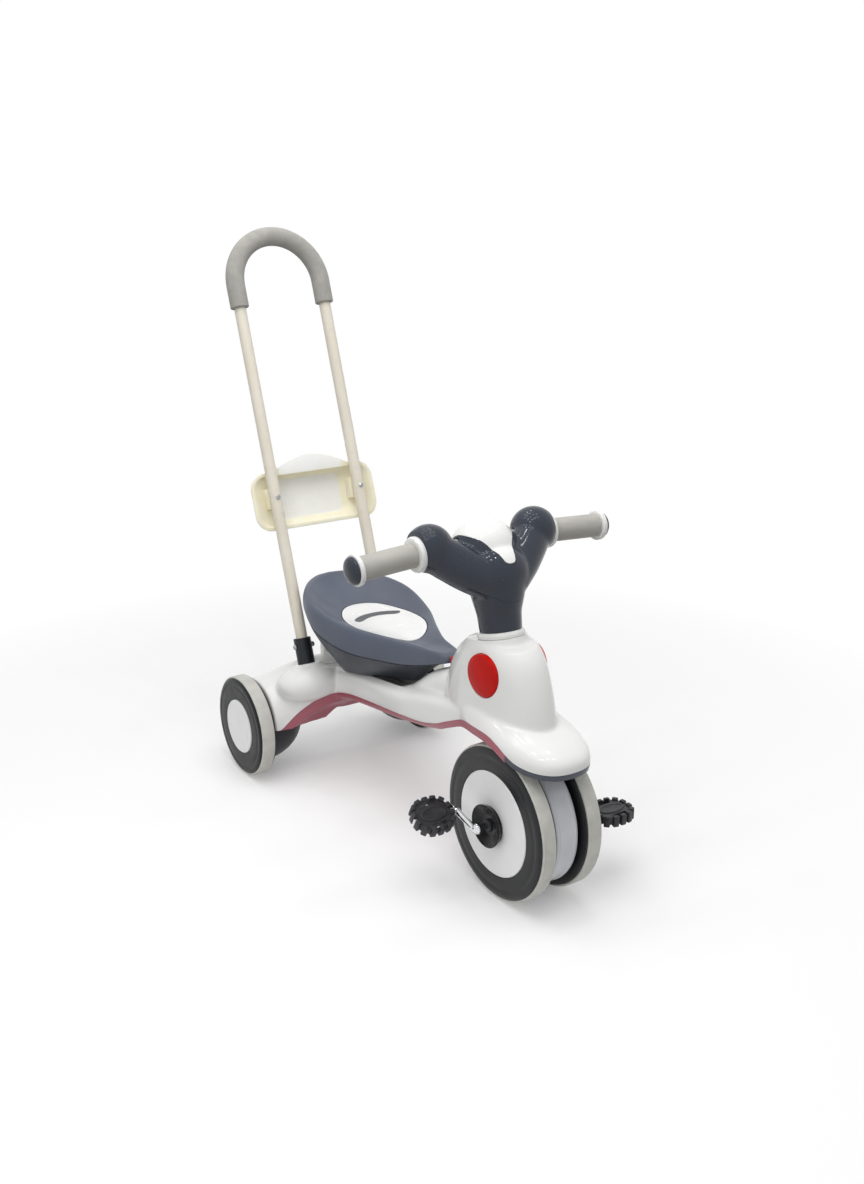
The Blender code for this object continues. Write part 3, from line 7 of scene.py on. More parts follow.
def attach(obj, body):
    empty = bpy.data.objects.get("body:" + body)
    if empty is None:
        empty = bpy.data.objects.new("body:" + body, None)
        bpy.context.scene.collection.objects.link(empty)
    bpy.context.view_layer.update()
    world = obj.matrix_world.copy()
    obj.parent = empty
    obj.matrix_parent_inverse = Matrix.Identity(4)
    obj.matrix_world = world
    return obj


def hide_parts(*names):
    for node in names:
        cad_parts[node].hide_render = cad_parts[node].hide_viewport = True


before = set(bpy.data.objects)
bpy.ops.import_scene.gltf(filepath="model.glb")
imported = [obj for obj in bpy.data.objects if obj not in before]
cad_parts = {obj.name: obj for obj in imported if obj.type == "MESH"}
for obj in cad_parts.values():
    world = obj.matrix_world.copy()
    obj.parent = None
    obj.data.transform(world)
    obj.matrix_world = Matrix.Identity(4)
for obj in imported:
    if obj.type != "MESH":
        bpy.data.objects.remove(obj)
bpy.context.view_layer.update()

print("frame loaded")

# Lengths are in metres. Each piece is drawn in its own part's frame, then settled into the tricycle's frame.
# Heights count from the floor and y counts from the front axle, backwards.
tricycle = {
    "frontAxleY": -0.312986,
    "clearance": 0.0003,       # between pieces that touch
    "frontRadius": 0.110,
    "rake": math.atan2(0.061, 0.247),
    "crankAngle": math.radians(12),
    "wheelbase": 0.526,
    "rearRadius": 0.082,
    "pushLean": math.radians(20),
    "pushHalf": 0.077,         # half the distance between the push bar's tubes
    "screwY": 0.5764,
    "screwZ": 0.4403,
}
gap = tricycle["clearance"]
sides = (("right", -1), ("left", 1))

bodyPlace = Matrix.Translation((0, tricycle["frontAxleY"], 0))
axlePlace = bodyPlace @ Matrix.Translation((0, 0, tricycle["frontRadius"]))
steerPlace = axlePlace @ Matrix.Rotation(-tricycle["rake"], 4, "X")
hubPlace = axlePlace @ Matrix.Rotation(tricycle["crankAngle"], 4, "X")
rearPlace = bodyPlace @ Matrix.Translation((0, tricycle["wheelbase"], tricycle["rearRadius"]))
pushPlace = (bodyPlace @ Matrix.Translation((0, tricycle["screwY"], tricycle["screwZ"]))
             @ Matrix.Rotation(-tricycle["pushLean"], 4, "X"))
upright = Matrix.Rotation(-math.pi / 2, 4, "Y")
uprightPlace = steerPlace @ upright                  # local X along the steering axis
columnPlace = bodyPlace.inverted() @ uprightPlace    # the same, seen from the body
turnedRound = Matrix.Rotation(math.pi, 4, "Z")


def tubePlace(sign):
    # One tube of the push bar, seen from the body.
    return bodyPlace.inverted() @ pushPlace @ Matrix.Translation((sign * tricycle["pushHalf"], 0, 0))


# Small helpers for the work in object and edit mode

def clearSelection():
    if bpy.context.object and bpy.context.object.mode != "OBJECT":
        bpy.ops.object.mode_set(mode="OBJECT")
    bpy.ops.object.select_all(action="DESELECT")


def pick(piece):
    clearSelection()
    piece.select_set(True)
    bpy.context.view_layer.objects.active = piece


def workOn(piece):
    pick(piece)
    bpy.ops.object.mode_set(mode="EDIT")
    bpy.ops.mesh.select_all(action="SELECT")


def closeUp(piece, fill=True):
    # Merges doubled points, fills open ends and turns the faces outwards.
    workOn(piece)
    bpy.ops.mesh.remove_doubles(threshold=0.000004)
    if fill:
        bpy.ops.mesh.fill_holes(sides=0)
    bpy.ops.mesh.select_all(action="SELECT")
    bpy.ops.mesh.normals_make_consistent(inside=False)
    bpy.ops.object.mode_set(mode="OBJECT")
    return piece


def applyChange(piece, kind, **settings):
    pick(piece)
    change = piece.modifiers.new(kind.lower(), kind)
    for key, value in settings.items():
        setattr(change, key, value)
    bpy.ops.object.modifier_apply(modifier=change.name)
    return piece


def roundEdges(piece, width, segments=3, angle=30):
    return applyChange(piece, "BEVEL", width=width, segments=segments, limit_method="ANGLE",
                       angle_limit=math.radians(angle), harden_normals=False)


def cutWith(piece, other, operation="DIFFERENCE", solver="MANIFOLD", keep=False):
    applyChange(piece, "BOOLEAN", object=other, operation=operation, solver=solver)
    if not keep:
        bpy.data.objects.remove(other)
    return piece


def placeIn(piece, place):
    pick(piece)
    piece.matrix_world = place @ piece.matrix_world
    bpy.ops.object.transform_apply(location=True, rotation=True, scale=True)
    return piece


def copyOf(piece, name):
    pick(piece)
    bpy.ops.object.duplicate()
    made = bpy.context.object
    made.name = name
    return made


def joinAll(pieces, name):
    clearSelection()
    for piece in pieces:
        piece.select_set(True)
    bpy.context.view_layer.objects.active = pieces[0]
    bpy.ops.object.join()
    bpy.context.object.name = name
    return bpy.context.object


def softLine(points, rounding, steps=5):
    # Rounds each inner corner of a drawn profile by cutting back the given length at both sides.
    made = [points[0]]
    for before, corner, after in zip(points, points[1:], points[2:]):
        a, b, c = (Vector(p).to_3d() if len(p) == 3 else Vector((*p, 0)) for p in (before, corner, after))
        back = min(rounding, (b - a).length * 0.45, (c - b).length * 0.45)
        start, end = b + (a - b).normalized() * back, b + (c - b).normalized() * back
        for k in range(steps + 1):
            u = k / steps
            point = start * (1 - u) ** 2 + b * 2 * u * (1 - u) + end * u ** 2
            made.append(tuple(point[:len(corner)]))
    made.append(points[-1])
    return made


def spinProfile(name, profile, steps=72, closed=True):
    # A profile of (along X, radius) drawn point by point and spun once about X.
    clearSelection()
    bpy.ops.mesh.primitive_plane_add(size=0.001, location=(0, 0, 0))
    piece = bpy.context.object
    piece.name = name
    workOn(piece)
    bpy.ops.mesh.merge(type="CENTER")
    points = [Vector((x, 0, radius)) for x, radius in profile]
    if closed:
        points.append(points[0])
    bpy.ops.transform.translate(value=points[0])
    for start, end in zip(points, points[1:]):
        bpy.ops.mesh.extrude_region_move(TRANSFORM_OT_translate={"value": end - start})
    bpy.ops.mesh.select_all(action="SELECT")
    bpy.ops.mesh.spin(steps=steps, angle=2 * math.pi, center=(0, 0, 0), axis=(1, 0, 0))
    return closeUp(piece, fill=False)


def rollGrid(name, rings, closed=False):
    # A grid whose rows are laid on the measured outlines one after another; its side edges meet and merge.
    rows = [list(ring) + [ring[0]] for ring in rings]
    if closed:
        rows.append(rows[0])
    clearSelection()
    bpy.ops.mesh.primitive_grid_add(x_subdivisions=len(rows[0]) - 1, y_subdivisions=len(rows) - 1, size=1,
                                    location=(0, 0, 0))
    piece = bpy.context.object
    piece.name = name
    piece.data.vertices.foreach_set("co", [value for row in rows for point in row for value in point])
    return closeUp(piece, fill=not closed)


def reliefBlock(name, xs, ys, low, high):
    # A grid raised to one height, extruded and its copy lowered to the other.
    clearSelection()
    bpy.ops.mesh.primitive_grid_add(x_subdivisions=len(xs) - 1, y_subdivisions=len(ys) - 1, size=1,
                                    location=(0, 0, 0))
    piece = bpy.context.object
    piece.name = name
    for index, vertex in enumerate(piece.data.vertices):
        x, y = xs[index % len(xs)], ys[index // len(xs)]
        vertex.co = (x, y, high(x, y))
    workOn(piece)
    bpy.ops.mesh.extrude_region_move(TRANSFORM_OT_translate={"value": (0, 0, -1)})
    bpy.ops.object.mode_set(mode="OBJECT")
    for vertex in piece.data.vertices:
        if vertex.select:
            vertex.co.z = low(vertex.co.x, vertex.co.y)
    return closeUp(piece, fill=False)


def settled(name):
    piece = bpy.context.object
    piece.name = name
    bpy.ops.object.transform_apply(location=True, rotation=True, scale=True)
    return piece


def addBlock(name, low, high):
    clearSelection()
    middle = [(a + b) / 2 for a, b in zip(low, high)]
    bpy.ops.mesh.primitive_cube_add(size=1, location=middle, scale=[b - a for a, b in zip(low, high)])
    return settled(name)


def addRod(name, start, end, radius, steps=48):
    # Round bar along X.
    clearSelection()
    bpy.ops.mesh.primitive_cylinder_add(vertices=steps, radius=radius, depth=end - start,
                                        location=((start + end) / 2, 0, 0), rotation=(0, math.pi / 2, 0))
    return settled(name)


def addBall(name, centre, radii, steps=48):
    clearSelection()
    bpy.ops.mesh.primitive_uv_sphere_add(segments=steps, ring_count=steps // 2, radius=1, location=centre,
                                         scale=radii)
    return settled(name)


def sweepTube(name, path, normal, radii, steps=32):
    # Round section carried along a flat path, with its own radius at each point.
    rings = []
    for index, point in enumerate(path):
        before, after = path[max(index - 1, 0)], path[min(index + 1, len(path) - 1)]
        side = (after - before).normalized().cross(normal)
        rings.append([point + radii[index] * (math.cos(a) * normal + math.sin(a) * side)
                      for a in (2 * math.pi * k / steps for k in range(steps))])
    return rollGrid(name, rings)


def blendForm(piece, voxel, rounds):
    # Melts overlapping shapes into one skin and relaxes it.
    applyChange(piece, "REMESH", mode="VOXEL", voxel_size=voxel)
    return applyChange(piece, "SMOOTH", factor=0.5, iterations=rounds)


def easedRows(rows, steps):
    # Smooth curve through rows of numbers, with the given steps in each stretch.
    first = [2 * a - b for a, b in zip(rows[0], rows[1])]
    last = [2 * a - b for a, b in zip(rows[-1], rows[-2])]
    ends = [first, *rows, last]
    made = []
    for before, start, end, after in zip(ends, ends[1:], ends[2:], ends[3:]):
        for k in range(steps):
            t = k / steps
            made.append([0.5 * (2 * b + (c - a) * t + (2 * a - 5 * b + 4 * c - d) * t ** 2
                                + (3 * b - a - 3 * c + d) * t ** 3)
                         for a, b, c, d in zip(before, start, end, after)])
    made.append(list(rows[-1]))
    return made


def readLine(line, at):
    if at <= line[0][0]:
        return line[0][1]
    for (a, low), (b, high) in zip(line, line[1:]):
        if at <= b:
            return low + (high - low) * (at - a) / (b - a)
    return line[-1][1]


def ovalRing(halfX, halfY, power=2.0, steps=48):
    ring = []
    for k in range(steps):
        c, s = math.cos(2 * math.pi * (k + 0.5) / steps), math.sin(2 * math.pi * (k + 0.5) / steps)
        ring.append((halfX * math.copysign(abs(c) ** (2 / power), c),
                     halfY * math.copysign(abs(s) ** (2 / power), s)))
    return ring


def finishPiece(piece, place, body, nodes, finish, angle=35):
    # Settles a piece in the tricycle's frame, gives it its finish and lets it stand for its nodes.
    placeIn(piece, place)
    bpy.ops.object.shade_smooth_by_angle(angle=math.radians(angle))
    if finish:
        piece.data.materials.clear()
        piece.data.materials.append(finish)
    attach(piece, body)
    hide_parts(*nodes)
    return piece


def finishPair(piece, name, place, bodies, node, finish, angle=35):
    # The piece is drawn for the left side; a copy turned half round stands at the right.
    twin = copyOf(piece, f"{name}Right")
    piece.name = f"{name}Left"
    finishPiece(piece, place, bodies["left"], [f"{node}_left"], finish, angle)
    finishPiece(twin, place @ turnedRound, bodies["right"], [f"{node}_right"], finish, angle)


print("helpers ready")

# Finishes

def linearColour(code):
    channels = [int(code[k:k + 2], 16) / 255 for k in (1, 3, 5)]
    return (*[c / 12.92 if c <= 0.04045 else ((c + 0.055) / 1.055) ** 2.4 for c in channels], 1)


def addNode(tree, kind, settings=None, links=None):
    node = tree.nodes.new(kind)
    for key, value in (settings or {}).items():
        if isinstance(key, int) or key in node.inputs:
            node.inputs[key].default_value = value
        else:
            setattr(node, key, value)
    for key, source in (links or {}).items():
        tree.links.new(source, node.inputs[key])
    return node


def makeFinish(name, look):
    # Colour that drifts a little, gloss that varies with handling, and the surface that mould or coat left.
    finish = bpy.data.materials.new(name)
    finish.use_nodes = True
    tree = finish.node_tree
    shader = tree.nodes["Principled BSDF"]
    for key, value in look.get("shader", {}).items():
        shader.inputs[key].default_value = value
    spot = addNode(tree, "ShaderNodeTexCoord").outputs["Object"]
    if "stretch" in look:
        spot = addNode(tree, "ShaderNodeMapping", {"Scale": look["stretch"]}, {"Vector": spot}).outputs[0]

    def cloud(sizeMm, detail):
        return addNode(tree, "ShaderNodeTexNoise", {"Scale": 1000 / sizeMm, "Detail": detail},
                       {"Vector": spot}).outputs[0]

    drift = cloud(look["driftMm"], 4.0)
    tint = addNode(tree, "ShaderNodeValToRGB", {}, {"Fac": drift})
    low, high = tint.color_ramp.elements
    low.position, high.position = 0.32, 0.68
    low.color, high.color = linearColour(look["colour"]), linearColour(look["drifted"])
    colour = tint.outputs["Color"]
    if "speck" in look:
        few = addNode(tree, "ShaderNodeMapRange",
                      {"From Min": look["speckShare"], "From Max": look["speckShare"] + 0.04},
                      {"Value": cloud(look["speckMm"], 1.0)})
        colour = addNode(tree, "ShaderNodeMixRGB", {"Color2": linearColour(look["speck"])},
                         {"Fac": few.outputs[0], "Color1": colour}).outputs["Color"]
    tree.links.new(colour, shader.inputs["Base Color"])
    gloss = addNode(tree, "ShaderNodeMapRange",
                    {"From Min": 0.3, "From Max": 0.7, "To Min": look["rough"] - look["spread"],
                     "To Max": look["rough"] + look["spread"]}, {"Value": cloud(look["handledMm"], 3.0)})
    tree.links.new(gloss.outputs[0], shader.inputs["Roughness"])
    relief = addNode(tree, "ShaderNodeBump",
                     {"Strength": look.get("grainStrength", 0.5), "Distance": look["grainDepth"]},
                     {"Height": cloud(look["grainMm"], 2.0)})
    if "waveMm" in look:
        relief = addNode(tree, "ShaderNodeBump", {"Strength": 0.4, "Distance": look["waveDepth"]},
                         {"Height": cloud(look["waveMm"], 0.0), "Normal": relief.outputs["Normal"]})
    tree.links.new(relief.outputs["Normal"], shader.inputs["Normal"])
    return finish


def addWheelRings(finish, centre, pitchMm, depth):
    # Fine circles about a wheel's axle, as a turned mould leaves them.
    tree = finish.node_tree
    shader = tree.nodes["Principled BSDF"]
    under = shader.inputs["Normal"].links[0].from_socket
    spot = addNode(tree, "ShaderNodeTexCoord").outputs["Object"]
    aside = addNode(tree, "ShaderNodeMapping", {"Location": (0, -centre[0], -centre[1]), "Scale": (0, 1, 1)},
                    {"Vector": spot})
    lines = addNode(tree, "ShaderNodeTexWave", {"wave_type": "RINGS", "rings_direction": "SPHERICAL",
                                                "Scale": 1000 / pitchMm * 0.314},
                    {"Vector": aside.outputs["Vector"]})
    relief = addNode(tree, "ShaderNodeBump", {"Strength": 0.5, "Distance": depth},
                     {"Height": lines.outputs["Fac"], "Normal": under})
    tree.links.new(relief.outputs["Normal"], shader.inputs["Normal"])
    return finish


frontCentre = (tricycle["frontAxleY"], tricycle["frontRadius"])
rearCentre = (tricycle["frontAxleY"] + tricycle["wheelbase"], tricycle["rearRadius"])

# White ABS from a polished mould: clear highlights, hardly any waviness.
glossWhite = makeFinish("glossWhiteAbs", {
    "colour": "#E9E9E7", "drifted": "#E6E6E3", "driftMm": 90, "rough": 0.16, "spread": 0.03, "handledMm": 60,
    "grainMm": 6, "grainDepth": 0.00006, "waveMm": 45, "waveDepth": 0.0004,
    "shader": {"IOR": 1.53, "Coat Weight": 0.25, "Coat Roughness": 0.05}})
# Dusty rose polypropylene: satin, a shade deeper where it was handled.
dustyRose = makeFinish("dustyRosePp", {
    "colour": "#A85C69", "drifted": "#9E5561", "driftMm": 70, "rough": 0.34, "spread": 0.05, "handledMm": 30,
    "grainMm": 1.6, "grainDepth": 0.00005, "shader": {"IOR": 1.49}})
# Seat polypropylene from a spark-eroded mould: the fine grain breaks the highlight into a soft sheen.
seatSlate = makeFinish("seatSlatePp", {
    "colour": "#555C6C", "drifted": "#505664", "driftMm": 80, "rough": 0.44, "spread": 0.05, "handledMm": 40,
    "grainMm": 1.5, "grainDepth": 0.00008, "shader": {"IOR": 1.49}})
# The same moulding below the seam, made darker as painted shade for the underside that faces down.
panSlatePaintedShade = makeFinish("panSlatePaintedShadePp", {
    "colour": "#3B3F48", "drifted": "#363A41", "driftMm": 80, "rough": 0.46, "spread": 0.05, "handledMm": 40,
    "grainMm": 1.5, "grainDepth": 0.00008, "shader": {"IOR": 1.49}})
# Polished slate ABS of the handlebar head: mirror-like, with a little dust that shows in the highlights.
headSlate = makeFinish("headSlateAbs", {
    "colour": "#2D3440", "drifted": "#2A303A", "driftMm": 60, "rough": 0.13, "spread": 0.03, "handledMm": 25,
    "grainMm": 2.2, "grainDepth": 0.00005, "waveMm": 30, "waveDepth": 0.0003,
    "speck": "#6A707A", "speckMm": 1.1, "speckShare": 0.74,
    "shader": {"IOR": 1.53, "Specular IOR Level": 0.32}})
# Slate lining of the fender's lower edge.
linerSlate = makeFinish("linerSlatePp", {
    "colour": "#454C56", "drifted": "#404750", "driftMm": 60, "rough": 0.30, "spread": 0.04, "handledMm": 25,
    "grainMm": 1.6, "grainDepth": 0.00005, "shader": {"IOR": 1.49}})
# Glass-filled nylon of sockets and axle covers: dry, slightly streaked.
darkNylon = makeFinish("darkNylon", {
    "colour": "#1C1E24", "drifted": "#22242A", "driftMm": 22, "rough": 0.42, "spread": 0.06, "handledMm": 12,
    "grainMm": 0.9, "grainDepth": 0.00006, "stretch": (1.0, 1.0, 0.35),
    "shader": {"IOR": 1.53, "Specular IOR Level": 0.3}})
# Red polycarbonate: deep colour under a hard clear surface.
redLens = makeFinish("redPolycarbonate", {
    "colour": "#CB1209", "drifted": "#BE0F08", "driftMm": 26, "rough": 0.09, "spread": 0.02, "handledMm": 14,
    "grainMm": 1.8, "grainDepth": 0.00005, "shader": {"IOR": 1.50, "Specular IOR Level": 0.12}})
# Sidewall of the twin tyre: soft PVC that keeps the rings of its turned mould.
frontSidewall = addWheelRings(makeFinish("frontSidewallPvc", {
    "colour": "#1D1E21", "drifted": "#191A1C", "driftMm": 35, "rough": 0.34, "spread": 0.06, "handledMm": 18,
    "grainMm": 1.3, "grainDepth": 0.00005, "shader": {"IOR": 1.52, "Specular IOR Level": 0.3}}),
    frontCentre, 2.4, 0.00002)
rearSidewall = addWheelRings(makeFinish("rearSidewallPvc", {
    "colour": "#191A1C", "drifted": "#161718", "driftMm": 35, "rough": 0.36, "spread": 0.06, "handledMm": 18,
    "grainMm": 1.3, "grainDepth": 0.00005, "shader": {"IOR": 1.52, "Specular IOR Level": 0.22}}),
    rearCentre, 2.4, 0.00002)
# Foamed EVA tread: matte and chalky, with fine cells and faint handling marks.
treadFoam = makeFinish("treadEva", {
    "colour": "#CCCBC5", "drifted": "#C0BFB9", "driftMm": 16, "rough": 0.68, "spread": 0.08, "handledMm": 9,
    "grainMm": 1.1, "grainDepth": 0.0001, "speck": "#B0AFA8", "speckMm": 1.8, "speckShare": 0.72,
    "shader": {"IOR": 1.45, "Specular IOR Level": 0.35}})
# White polypropylene wheel disc: even satin.
discWhite = makeFinish("discWhitePp", {
    "colour": "#F0F1F0", "drifted": "#EBECEB", "driftMm": 50, "rough": 0.38, "spread": 0.05, "handledMm": 25,
    "grainMm": 1.4, "grainDepth": 0.00005, "shader": {"IOR": 1.49}})
# Cool grey drum between the wheels: gloss with turned rings.
drumGrey = addWheelRings(makeFinish("drumGreyAbs", {
    "colour": "#D2D3D9", "drifted": "#CACBD1", "driftMm": 45, "rough": 0.22, "spread": 0.04, "handledMm": 20,
    "grainMm": 2.0, "grainDepth": 0.00005, "shader": {"IOR": 1.53}}), frontCentre, 5.0, 0.00003)
# Cream powder coat on the push bar: soft orange peel over the tube.
creamEnamel = makeFinish("creamPowderCoat", {
    "colour": "#E5DFD1", "drifted": "#DED7C7", "driftMm": 60, "rough": 0.30, "spread": 0.05, "handledMm": 25,
    "grainMm": 1.8, "grainDepth": 0.00008, "shader": {"IOR": 1.52}})
# Natural polypropylene of the backrest: milky, it lets some light through and warms where it is thick.
milkyGlow = {"IOR": 1.49, "Subsurface Weight": 0.4, "Subsurface Scale": 1.0}
milkyWall = makeFinish("milkyPpWall", {
    "colour": "#F3EEDA", "drifted": "#EFE8CE", "driftMm": 30, "rough": 0.36, "spread": 0.05, "handledMm": 20,
    "grainMm": 1.6, "grainDepth": 0.00006,
    "shader": {**milkyGlow, "Subsurface Radius": (0.006, 0.005, 0.003)}})
milkyPanel = makeFinish("milkyPpPanel", {
    "colour": "#F5F4F0", "drifted": "#F1F0EB", "driftMm": 40, "rough": 0.34, "spread": 0.05, "handledMm": 20,
    "grainMm": 1.6, "grainDepth": 0.00006,
    "shader": {**milkyGlow, "Subsurface Radius": (0.006, 0.005, 0.004)}})
# Closed-cell foam sleeve: dry, dull, pitted by tiny cells.
foamGrey = makeFinish("foamSleeve", {
    "colour": "#A8A6A0", "drifted": "#9D9B95", "driftMm": 14, "rough": 0.86, "spread": 0.06, "handledMm": 10,
    "grainMm": 1.2, "grainDepth": 0.00025, "grainStrength": 0.8,
    "speck": "#8E8C86", "speckMm": 1.2, "speckShare": 0.66,
    "shader": {"Specular IOR Level": 0.25, "Sheen Weight": 0.25, "Sheen Roughness": 0.6}})
# Soft thermoplastic rubber of the hand grips: matte with a faint brushed grain along the bar.
gripRubber = makeFinish("gripRubber", {
    "colour": "#B5B3AD", "drifted": "#ABA9A2", "driftMm": 18, "rough": 0.66, "spread": 0.06, "handledMm": 9,
    "grainMm": 1.0, "grainDepth": 0.00012, "stretch": (0.4, 1.0, 1.0),
    "shader": {"Specular IOR Level": 0.35}})
# Black polypropylene of the pedals: satin edges, scuffed treads.
pedalBlack = makeFinish("pedalBlackPp", {
    "colour": "#1B1B20", "drifted": "#25252A", "driftMm": 8, "rough": 0.46, "spread": 0.1, "handledMm": 5,
    "grainMm": 0.9, "grainDepth": 0.0001, "shader": {"IOR": 1.49}})
# Black hub cup: smooth satin.
hubBlack = makeFinish("hubBlackAbs", {
    "colour": "#0E0F12", "drifted": "#131418", "driftMm": 18, "rough": 0.26, "spread": 0.05, "handledMm": 9,
    "grainMm": 1.5, "grainDepth": 0.00005, "shader": {"IOR": 1.53, "Specular IOR Level": 0.22}})
# Zinc plate on rods and screws: grey metal, lightly drawn along its length.
zincSteel = makeFinish("zincSteel", {
    "colour": "#BFC1C3", "drifted": "#A9ABAE", "driftMm": 6, "rough": 0.32, "spread": 0.06, "handledMm": 4,
    "grainMm": 0.8, "grainDepth": 0.00002, "stretch": (0.2, 1.0, 1.0), "shader": {"Metallic": 1.0}})
# Chrome plate on the cranks: a near mirror that shows the floor.
chromePlate = makeFinish("chromePlate", {
    "colour": "#DDDFE0", "drifted": "#D2D4D6", "driftMm": 12, "rough": 0.07, "spread": 0.02, "handledMm": 6,
    "grainMm": 1.5, "grainDepth": 0.00001, "shader": {"Metallic": 1.0}})
# Film on the seat plate: smooth white, and the plain dark stripe printed on it.
plateWhite = makeFinish("plateWhiteFilm", {
    "colour": "#EBEBEA", "drifted": "#E5E5E5", "driftMm": 40, "rough": 0.24, "spread": 0.04, "handledMm": 18,
    "grainMm": 1.4, "grainDepth": 0.00003, "shader": {"IOR": 1.5}})
stripeGrey = makeFinish("stripeGreyFilm", {
    "colour": "#4A4D53", "drifted": "#585B61", "driftMm": 5, "rough": 0.36, "spread": 0.05, "handledMm": 8,
    "grainMm": 0.9, "grainDepth": 0.00003, "shader": {"IOR": 1.5}})
print("finishes ready")


# Body shell, rose strip and slate fender lining: one melted form, cut along the same lower line

bodyShell = {
    "bushHole": 0.016, "aboveTop": 0.5,
    "voxel": 0.0021, "relax": 20, "front": -0.160, "back": 0.640, "cutTop": 0.4,
    "lowerLine": ((-0.160, 0.2170), (-0.100, 0.2170), (-0.070, 0.2190), (-0.050, 0.2225), (-0.034, 0.2284),
                  (-0.016, 0.2352), (0.008, 0.2405), (0.040, 0.2400), (0.075, 0.2350), (0.121, 0.2140),
                  (0.150, 0.1995), (0.194, 0.1856), (0.258, 0.1755), (0.3375, 0.1650), (0.393, 0.1570),
                  (0.434, 0.1450), (0.450, 0.1360), (0.458, 0.1280), (0.466, 0.1080), (0.478, 0.0906),
                  (0.640, 0.0906)),
    "spine": ((0.000, 0.044, 0.262), (0.060, 0.0485, 0.262), (0.110, 0.0485, 0.252), (0.150, 0.0475, 0.243),
              (0.200, 0.047, 0.232), (0.250, 0.047, 0.219), (0.330, 0.0475, 0.206), (0.410, 0.0500, 0.193),
              (0.450, 0.0540, 0.187), (0.500, 0.0560, 0.181), (0.530, 0.050, 0.172)),     # y, half width, top
    "riser": ((0.215, 0.0440, -0.040, 0.165), (0.245, 0.0480, -0.047, 0.168),
              (0.260, 0.0480, -0.046, 0.165), (0.290, 0.0475, -0.037, 0.156),
              (0.320, 0.0465, -0.023, 0.137), (0.338, 0.0430, -0.011, 0.119),
              (0.350, 0.0385, 0.002, 0.104)),                 # height, half width, front, back
    "brim": ((0.008, 0.200, 0.0), (0.0015, 0.206, 0.0), (0.0, 0.222, 0.04), (0.001, 0.237, 0.10),
             (0.007, 0.2495, 0.16), (0.018, 0.2578, 0.20), (0.032, 0.2625, 0.22)),    # inset, height, tilt
    "brimHalf": 0.0612, "brimFront": -0.105, "brimBack": 0.150, "brimPower": 0.80, "brimTaper": 0.32,
    "pods": ((0.148, 0.523, 0.0885, 0.0640, 0.0665), (0.122, 0.520, 0.0910, 0.0645, 0.0690),
             (0.100, 0.512, 0.1010, 0.0640, 0.0680), (0.080, 0.503, 0.1140, 0.0630, 0.0640),
             (0.060, 0.498, 0.1300, 0.0620, 0.0520), (0.030, 0.494, 0.1435, 0.0600, 0.0400)),
    "podMiddle": (0, 0.493, 0.1450, 0.0600, 0.0385),          # x, y, z, half depth, half height
    "pedestal": ((0.120, 0.030, 0.272), (0.160, 0.029, 0.2725), (0.185, 0.028, 0.2650),
                 (0.210, 0.028, 0.2530), (0.232, 0.029, 0.2370), (0.255, 0.030, 0.2200)),
    "neck": ((0.150, 0.0), (0.150, 0.044), (0.220, 0.0395), (0.254, 0.0345), (0.254, 0.0)),
    "neckTop": 0.250, "columnHole": 0.013, "roomFoot": 0.15, "roomTop": 0.229, "lipWall": 0.0035,
    "spineDepth": 0.045, "spineSkirt": 0.004, "spineFoot": 0.100, "spinePower": 3.6, "riserPower": 2.2,
    "podPower": 2.1, "pedestalPower": 2.6, "pedestalDepth": 0.030,
    "deckStart": 0.250, "deckHeight": 0.2155, "deckSlope": -0.16, "deckEnd": 0.470, "deckHalf": 0.053,
    "tubHalf": 0.034, "tubFront": 0.262, "tubBack": 0.400, "tubWall": 0.006,
    "stripFront": -0.034, "stripEnd": 0.482, "stripHeight": 0.0105, "tailStrip": 0.019,
    "tailStart": 0.36, "tailFull": 0.45, "tailHalf": 0.050, "tailCurve": 4.9,
    "liningHeight": 0.0078, "coverTop": 0.090,
}
socket = {"top": -0.2298, "length": 0.062, "radius": 0.014, "bolt": -0.243, "boltRadius": 0.0024,
          "bossLift": 0.002, "bossTall": 0.018, "bossWall": 0.007,
          "shoulder": -0.304, "shoulderRadii": (0.056, 0.050, 0.032)}
lens = {"radius": 0.030, "place": (0.0445, 0.040, 0.311), "turn": math.radians(6.5), "depth": 0.006,
        "clear": 0.0006, "rim": 0.0002, "dome": 0.0043}
button = {"slack": 0.001, "pocketBack": 0.200,
          "half": 0.011, "front": 0.142, "back": 0.1674, "low": 0.2745, "high": 0.2895, "travel": 0.004}
hinge = {"postFoot": 0.15, "postRise": 0.0015, "earFront": 0.0215,
         "y": 0.5475, "z": 0.268, "pin": 0.003, "postHalf": 0.014, "ear": 0.007, "block": 0.007}
peg = {"hole": 0.008, "deep": 0.006, "root": 0.003,
       "x": 0.030, "y": 0.430, "radius": 0.005}

lowerLine = easedRows(bodyShell["lowerLine"], 6)


def bodyFoot(x, y):
    beyond = max(abs(x) - bodyShell["tailHalf"], 0) if y > bodyShell["tailStart"] else 0
    return max(readLine(lowerLine, y) - bodyShell["tailCurve"] * beyond ** 2, bodyShell["coverTop"] + 2 * gap)


def stripFoot(x, y):
    share = min(max((y - bodyShell["tailStart"]) / (bodyShell["tailFull"] - bodyShell["tailStart"]), 0), 1)
    height = bodyShell["stripHeight"] + (bodyShell["tailStrip"] - bodyShell["stripHeight"]) * share ** 2
    return max(bodyFoot(x, y) - height, bodyShell["coverTop"] + gap)


def deckAt(y):
    return bodyShell["deckHeight"] + bodyShell["deckSlope"] * (y - bodyShell["deckStart"])


